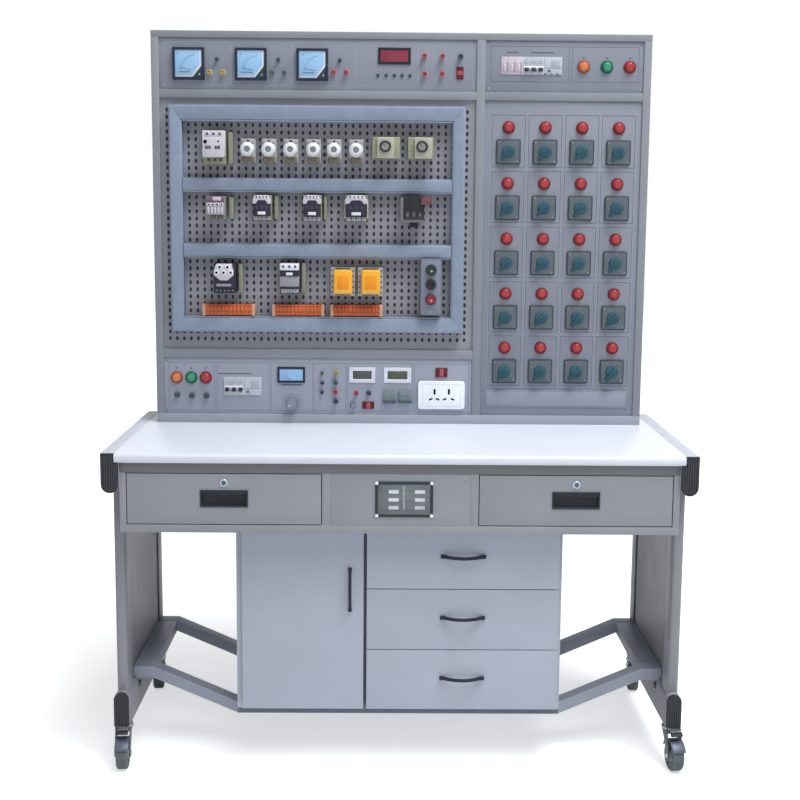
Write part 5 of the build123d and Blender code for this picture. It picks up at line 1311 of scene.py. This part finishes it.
def arched_contactor(shape, x, z, bar):
    """A contactor with a white arched cap, a dark middle and a small label."""
    wide, high = size(x), size(z)
    contactor_foot(shape, x, z, bar, "device base")
    if not bar:
        for edge in ((x[0] - 2, x[0] + 1), (x[1] - 1, x[1] + 2)):
            shape.box("device cream", edge, (BASE - 6, PEG - 12), within(z, 6, 10), 0.8)
    shape.box("device black", within(x, 2), (FRONT + 1, BASE + 2), share(z, 0.16, 0.9), 1.8)
    under = [(1, z[1] - high * 0.34), (9, z[1] - high * 0.34), (wide * 0.3, z[1] - high * 0.2)]
    over = [(2, z[1] - high * 0.14), (wide * 0.2, z[1])]
    outline = [(x[0] + a, b) for a, b in under] + [(x[1] - a, b) for a, b in under[::-1] + over]
    outline += [(x[0] + a, b) for a, b in over[::-1]]
    shape.run("device white", outline, (FRONT - 0.5, BASE + 2), "y", 1.0)
    for number in range(4):
        centre = x[0] + wide * (0.23 + 0.18 * number)
        shape.box("device shade", about(centre, 2.6), (FRONT - 0.9, FRONT + 2), share(z, 0.87, 0.98), 0.3)
    shape.box("label white", about(middle(x), wide * 0.42), (FRONT - 0.2, FRONT + 2), share(z, 0.22, 0.34), 0.5)
    for number in (-1, 0, 1):
        centre = middle(x) + number * wide * 0.26
        shape.box("device shade", about(centre, 6), (FRONT + 0.2, FRONT + 2), share(z, 0.46, 0.56), 0.8)
    for number in range(4):
        centre = x[0] + wide * (0.16 + 0.226 * number)
        shape.box("device white", about(centre, wide * 0.15), (STEP, BASE + 2), (z[0] + 1, z[0] + high * 0.15), 1.0)
        shape.disc("terminal screw", (centre, z[0] + high * 0.09), 2.2, (STEP - 0.5, STEP + 0.5), 12, 0.2)


def lobed_contactor(shape, x, z, bar):
    """A contactor with rows of round terminal lugs on a dark body."""
    wide, high, centre = size(x), size(z), middle(x)
    contactor_foot(shape, x, z, bar, "device black")
    shape.box("device black", within(x, 2), (FRONT, BASE + 2), share(z, 0.16, 0.92), 1.6)
    top, low = z[1] - high * 0.12, z[1] - high * 0.3
    edge = [(9, z[0] + high * 0.44), (wide / 2 - 3, low - 7), (wide / 2 - 3, low + 6), (19, z[1] - 1)]
    outline = [(centre + a, b) for a, b in edge] + [(centre - a, b) for a, b in edge[::-1]]
    shape.run("device white", outline, (FRONT - 2, BASE), "y", 1.4)
    for place in [(centre + a, top) for a in (-10, 10)] + [(centre + side * wide * 0.32, low) for side in (-1, 0, 1)]:
        shape.disc("label white", place, 6.6, (FRONT - 3.2, FRONT), 20, 1.0)
        shape.disc("dark hole", place, 3.3, (FRONT - 3.7, FRONT - 2.6), 14, 0.3)
    shape.box("device grey", about(centre, wide * 0.66), (FRONT - 1, FRONT + 1), share(z, 0.24, 0.32), 0.5)
    row = (z[0] + 3, z[0] + high * 0.14)
    terminals(shape, within(x, 3), row, 5, BASE - 2, "device shade", "device grey")


def barred_contactor(shape, x, z, bar):
    """A contactor with a white three-pole top, a black band and a grey coil block."""
    wide, high, centre = size(x), size(z), middle(x)
    contactor_foot(shape, x, z, bar, "device shade")
    whole = within(x, 1)
    shape.box("label white", whole, (FRONT - 2, BASE + 2), (z[1] - high * 0.24, z[1] - 2), 2.0, steps=3)
    for side in (-1, 0, 1):
        place = (centre + side * wide * 0.3, z[1] - high * 0.12)
        shape.disc("terminal screw", place, 3.6, (FRONT - 2.6, FRONT - 1.4), 16, 0.3)
    shape.box("device black", whole, (FRONT, BASE + 2), share(z, 0.58, 0.75), 0.8)
    shape.box("label white", about(centre, wide * 0.34), (FRONT - 0.8, FRONT + 2), share(z, 0.6, 0.69), 0.6)
    shape.box("device grey", whole, (FRONT + 2, BASE + 2), share(z, 0.24, 0.57), 1.4)
    terminals(shape, within(x, 3), share(z, 0.03, 0.14), 3, BASE - 2, "device white", "device olive")


def dial_relay(shape, x, z, raised, centre):
    """A timing relay: stepped case, raised front and a ringed dial."""
    shape.box("dial case", x, (PEG - 48, PEG), z, 1.4)
    shape.box("dial front", raised, (PEG - 60, PEG - 46), within(z, 1), 1.6)
    slit = (x[0] + 2, raised[0] - 1)
    shape.add("dial case", tray(slit, (PEG - 49, PEG - 40), within(z, 4), 1.8, 1.2, 0.3))
    ring = ((10, 62), (10, 65.4), (11.4, 66), (13.4, 66), (14.8, 64.6), (14.8, 59), (10, 59), (10, 62))
    shape.spin("dial ring", [(radius, PEG - out) for radius, out in ring], centre=centre)
    shape.disc("dial disc", centre, 10.1, (PEG - 64.4, PEG - 59), 28, 0.8)
    bars(shape, "dial ring", centre, [-40], 1.6, (PEG - 64.9, PEG - 64.2), (1, 8))
    bars(shape, "device shade", centre, range(-120, 121, 30), 0.8, (PEG - 60.3, PEG - 59.8), (16, 18.4))


def plug_relay(shape, x, z, cover):
    """A clear amber relay plugged into a socket with two rows of screws."""
    shape.box("relay socket", x, (PEG - 22, PEG), z, 1.2)
    for row in ((z[1] - 8, z[1] - 1), (z[0] + 1, z[0] + 8)):
        shape.box("relay metal", within(x, 12), (PEG - 26, PEG - 20), row, 0.8)
    for edge in within(x, 4.2):
        for number in range(5):
            height = z[0] + 9 + number * (size(z) - 18) / 4
            shape.disc("terminal screw", (edge, height), 2.4, (PEG - 22.6, PEG - 21.5), 12, 0.3)
    shape.box("relay amber", cover, (PEG - 78, PEG - 26), (1138, 1200), 4.0, steps=4)
    inside = within(cover, 9)
    shape.box("relay coil", inside, (PEG - 78.4, PEG - 77.4), (1150, 1186), 0.1)
    for centre in spaced(inside, 4):
        shape.box("relay socket", about(centre, 4), (PEG - 78.4, PEG - 77.3), (1141, 1145), 0.1)


class BENCH_OT_switchgear(Operator):
    """Builds the contactors and relays on the pegboard"""

    bl_idname = "bench.switchgear"
    bl_label = "Contactors And Relays"

    def execute(self, context):
        shape = Shape()
        for build, *where in (
            (pale_contactor, (-508, -450), (1467, 1551), (-445, -434)),
            (mixed_contactor, (-499, -452), (1326, 1386), (-444, -433)),
            (arched_contactor, (-381, -333), (1326, 1389), (-327, -317)),
            (arched_contactor, (-252, -204), (1325, 1390), (-199, -192)),
            (arched_contactor, (-143, -86), (1325, 1391), None),
            (lobed_contactor, (-484, -427), (1137, 1214), (-421, -411)),
            (barred_contactor, (-312, -261), (1137, 1217), (-257, -247)),
            (dial_relay, (-74, -4), (1484.5, 1538.5), (-62, -19), (-41, 1514.5)),
            (dial_relay, (17, 82), (1484.5, 1538.5), (34, 78), (53, 1514.5)),
            (plug_relay, (-181.5, -118), (1130, 1205), (-172, -124)),
            (plug_relay, (-110.5, -45), (1130, 1205), (-100, -52)),
        ):
            build(shape, *where)
        shape.box("isolator frame", (-1, 59), (PEG - 58, PEG), (1323, 1386), 1.2)
        shape.box("isolator body", (7, 59.6), (PEG - 62, PEG - 30), (1330, 1386.6), 1.4)
        for x in (17, 33, 49):
            shape.box("device shade", about(x, 10), (PEG - 62.8, PEG - 58), (1334, 1350), 0.4)
            shape.disc("relay metal", (x, 1342), 3.2, (PEG - 63.4, PEG - 57), 14, 0.4)
        shape.box("isolator body", (24, 46), (PEG - 40, PEG - 8), (1310, 1324), 1.2)
        knob = [(-16, -9.5), (13, -8), (15, 9.5), (-13, 8)]
        shape.run("isolator red", knob, (PEG - 74, PEG - 60), "y", 1.8, 3, at(66, 0, 1377))
        shape.piece("relays_and_contactors", "bench", "relay_plastic", "relays_and_contactors")
        return {"FINISHED"}


class BENCH_OT_fuses(Operator):
    """Builds the screw-cap fuse holders and the terminal strips"""

    bl_idname = "bench.fuses"
    bl_label = "Fuses And Strips"

    def execute(self, context):
        one = Shape()
        one.box("ceramic shade", (-19, 19), (PEG - 26, PEG), (-33, 28), 1.6)
        one.box("ceramic shade", (-16, 16), (PEG - 30, PEG - 24), (17, 27.6), 1.4)
        # A brown band at the foot of each holder's base: painted shadow of the cap
        one.box("fuse foot", (-17, 17), (PEG - 29.6, PEG - 24), (-32.6, -19), 1.2)
        for x in (-9, 9):
            one.disc("relay metal", (x, -26), 3.2, (PEG - 30, PEG - 28), 14, 0.4)
        one.disc("terminal screw", (0, 22), 3.4, (PEG - 30, PEG - 28), 16, 0.4)
        cap = ((0, 26), (17.2, 26), (18.5, 30), (18.5, 52), (16.8, 59), (13, 63), (9, 64), (8.2, 62.6), (0, 62.4))
        one.spin("ceramic", [(radius, PEG - out) for radius, out in cap], 36)
        one.disc("fuse window", (0, 0), 7.9, (PEG - 62.8, PEG - 61), 24, 0.4)
        bars(one, "ceramic", (0, 0), range(0, 360, 30), 2.2, (PEG - 50, PEG - 33), (17.6, 18.5), 0.3)
        shape = Shape()
        shape.repeat(one, [at(x, 0, 1505) for x in (-394, -340, -284, -225.5, -172.5, -116)])
        shape.piece("fuse_holders", "bench", "fuse_ceramic", "fuse_holders")

        shape = Shape()
        for x in ((-516, -379), (-334, -198), (-182, -46)):
            body = within(x, 8)
            pole = size(body) / 12
            shape.box("strip deep", body, (PEG - 24, PEG), (1077, 1107))
            for centre in spaced(body, 12):
                shape.box("strip orange", about(centre, pole - 1.1), (PEG - 32, PEG - 22), (1079, 1100))
                shape.box("strip orange", about(centre, pole - 0.8), (PEG - 26, PEG - 20), (1099, 1106.5), 0.5)
                shape.disc("strip deep", (centre, 1088), 2.3, (PEG - 32.6, PEG - 31.5), 12, 0.3)
            for end in ((x[0], body[0]), (body[1], x[1])):
                shape.box("strip end", end, (PEG - 35, PEG), (1077, 1107), 1.0)
        shape.piece("terminal_strips", "bench", "strip_orange", "terminal_strips")
        return {"FINISHED"}


class BENCH_OT_buttons(Operator):
    """Builds the push-button box and its three buttons"""

    bl_idname = "bench.buttons"
    bl_label = "Push-Button Box"

    def execute(self, context):
        box = Shape()
        box.run("box shade", rounded((52, 107.5), (1082, 1228.5), 5), (PEG - 48, PEG), "y", 1.8, 3)
        box.run("box grey", rounded((54.5, 105), (1085, 1225.5), 4), (PEG - 49, PEG - 46))
        screws(box, [(79.75, 1219), (79.75, 1091)], 3.2, PEG - 49, 1.2)
        ring = ((11.3, 48), (11.3, 52.4), (12.4, 53), (14, 53), (15, 51.8), (15, 48), (11.3, 48))
        face = PEG - 59
        rim = [(10, face), (11, face + 1.5), (11, face + 22), (0, face + 22)]
        domed = [(0, face + 1.6), (6.5, face + 1.2), (8.4, face)] + rim
        cupped = [(0, face + 5), (6.5, face + 4.2), (8.2, face)] + rim
        buttons = (
            ("green", 1200.5, domed, "button glint"), ("black", 1163.5, cupped, None),
            ("red", 1124.5, domed, "button glint red"),
        )
        for _, height, _, _ in buttons:
            box.spin("box ring", [(radius, PEG - out) for radius, out in ring], centre=(79.75, height))
        box.piece("button_box", "bench", "button_box_grey", "button_box")
        for colour, height, outline, glint in buttons:
            button = Shape()
            button.spin("button " + colour, outline, centre=(79.75, height))
            # A small pale disc on the green and red caps: painted highlight
            if glint:
                button.disc(glint, (81, height - 2.5), 3.0, (face + 0.9, face + 1.7), 18, 0.3)
            node = "push_button_" + colour
            button.piece(node, node, "button_" + colour, node)
        return {"FINISHED"}


# The camera: lens and sensor in millimetres, yaw, pitch and roll in degrees, place in metres
LENS, SENSOR = 60.067, 36.0
YAW, PITCH, ROLL = 0.658, 8.311, 0.474
EYE = (-0.03795, -3.3809, 1.3669)

# The studio's lamps in metres: where each stands, what it looks at and its width
STUDIO = {
    "key": ((1.9, -1.3, 6.4), (0.2, -0.2, 0.8), 2.6),
    "fill": ((1.6, -4.4, 8.2), (0.0, 0.0, 1.0), 4.5),
    "low": ((0.6, -5.2, 1.4), (0.0, 0.0, 0.8), 3.0),
}
FLOOR_RADIUS = 14.0


class BENCH_OT_stage(Operator):
    """Sets up the floor, light and camera"""

    bl_idname = "bench.stage"
    bl_label = "Stage"

    def execute(self, context):
        stage = context.scene.bench_stage
        floor = bmesh.new()
        bmesh.ops.create_circle(floor, cap_ends=True, radius=FLOOR_RADIUS, segments=96)
        mesh = bpy.data.meshes.new("studio_floor")
        floor.to_mesh(mesh)
        floor.free()
        ground = bpy.data.objects.new("studio_floor", mesh)
        context.scene.collection.objects.link(ground)
        mesh.materials.append(floor_finish(stage.floor))

        world = bpy.data.worlds.new("studio")
        context.scene.world = world
        world.use_nodes = True
        tree = world.node_tree
        sky = tree.nodes["Background"]
        fill(tree, sky, {"Color": (*paint(246, 248, 255), 1), "Strength": stage.sky})
        white = grow(tree, "Background", {"Color": (1, 1, 1, 1), "Strength": 1.0})
        mix = grow(tree, "MixShader", {"Fac": seen(tree), 1: sky.outputs["Background"], 2: white.outputs["Background"]})
        fill(tree, tree.nodes["World Output"], {"Surface": mix.outputs["Shader"]})

        for name, where in STUDIO.items():
            lamp(name + "_lamp", *where, getattr(stage, name))

        eye = bpy.data.cameras.new("camera")
        eye.lens = LENS
        eye.sensor_width = SENSOR
        camera = bpy.data.objects.new("camera", eye)
        context.scene.collection.objects.link(camera)
        yaw, pitch, roll = radians(YAW), radians(PITCH), radians(ROLL)
        ahead = Vector((sin(yaw) * cos(pitch), cos(yaw) * cos(pitch), -sin(pitch)))
        level = Vector((cos(yaw), -sin(yaw), 0))
        lift = level.cross(ahead)
        right = cos(roll) * level + sin(roll) * lift
        up = -sin(roll) * level + cos(roll) * lift
        turn = Matrix((right, up, -ahead)).transposed().to_4x4()
        camera.matrix_world = Matrix.Translation(EYE) @ turn
        context.scene.camera = camera
        context.scene.view_settings.view_transform = "Standard"
        return {"FINISHED"}


def seen(tree):
    """One where a surface is seen by the camera, in a mirror or through glass, and zero elsewhere."""
    path = grow(tree, "LightPath").outputs
    first = grow(tree, "Math", {0: path["Is Camera Ray"], 1: path["Is Glossy Ray"]}, operation="MAXIMUM")
    either = {0: first.outputs[0], 1: path["Is Transmission Ray"]}
    return grow(tree, "Math", either, operation="MAXIMUM").outputs[0]


# The floor glows more the further it is from the middle, in metres, so that it meets the white
GLOW = {"From Min": 0.9, "From Max": 3.2, "To Min": 0.55, "To Max": 1.0}


def floor_finish(colour):
    """A pale floor that keeps the shadow and meets the white behind it."""
    material = bpy.data.materials.new("studio floor")
    material.use_nodes = True
    tree = material.node_tree
    shader = tree.nodes["Principled BSDF"]
    fill(tree, shader, {"Base Color": (*colour, 1), "Roughness": 0.9, "Specular IOR Level": 0.0})
    place = grow(tree, "TexCoord").outputs["Object"]
    reach = grow(tree, "VectorMath", {0: place}, operation="LENGTH").outputs["Value"]
    fade = grow(tree, "MapRange", {**GLOW, "Value": reach}).outputs["Result"]
    glow = grow(tree, "Emission", {"Color": (1, 1, 1, 1), "Strength": fade})
    both = grow(tree, "AddShader", {0: shader.outputs["BSDF"], 1: glow.outputs["Emission"]})
    mix = grow(tree, "MixShader", {"Fac": seen(tree), 1: shader.outputs["BSDF"], 2: both.outputs["Shader"]})
    fill(tree, tree.nodes["Material Output"], {"Surface": mix.outputs["Shader"]})
    return material


def lamp(name, place, target, width, power):
    """A square soft lamp that looks at a target."""
    light = bpy.data.lights.new(name, "AREA")
    light.shape = "SQUARE"
    light.size = width
    light.energy = power
    holder = bpy.data.objects.new(name, light)
    bpy.context.scene.collection.objects.link(holder)
    aim = (Vector(target) - Vector(place)).to_track_quat("-Z", "Y")
    holder.matrix_world = Matrix.Translation(place) @ aim.to_matrix().to_4x4()


BUILDERS = (
    BENCH_OT_worktop, BENCH_OT_side_frames, BENCH_OT_base_frame, BENCH_OT_casters, BENCH_OT_apron,
    BENCH_OT_pedestal, BENCH_OT_console, BENCH_OT_panels, BENCH_OT_pegboard, BENCH_OT_ducts,
    BENCH_OT_switches, BENCH_OT_lamps, BENCH_OT_meters, BENCH_OT_breakers, BENCH_OT_outlets,
    BENCH_OT_switchgear, BENCH_OT_fuses, BENCH_OT_buttons, BENCH_OT_stage,
)


class BENCH_PT_sidebar(Panel):
    """Lists the bench's settings and the builders of its pieces"""

    bl_idname = "BENCH_PT_sidebar"
    bl_label = "Training Bench"
    bl_space_type = "VIEW_3D"
    bl_region_type = "UI"
    bl_category = "Bench"

    def draw(self, context):
        for settings in (context.scene.bench_colours, context.scene.bench_details, context.scene.bench_stage):
            column = self.layout.column()
            for name in settings.__annotations__:
                column.prop(settings, name)
        for builder in BUILDERS:
            self.layout.operator(builder.bl_idname)


CLASSES = (BenchColours, BenchDetails, BenchStage, *BUILDERS, BENCH_PT_sidebar)


def register():
    for each in CLASSES:
        bpy.utils.register_class(each)
    bpy.types.Scene.bench_colours = PointerProperty(type=BenchColours)
    bpy.types.Scene.bench_details = PointerProperty(type=BenchDetails)
    bpy.types.Scene.bench_stage = PointerProperty(type=BenchStage)


def unregister():
    del bpy.types.Scene.bench_stage
    del bpy.types.Scene.bench_details
    del bpy.types.Scene.bench_colours
    for each in reversed(CLASSES):
        bpy.utils.unregister_class(each)


def main():
    register()
    for builder in BUILDERS:
        group, name = builder.bl_idname.split(".")
        getattr(getattr(bpy.ops, group), name)()


if __name__ == "__main__":
    main()
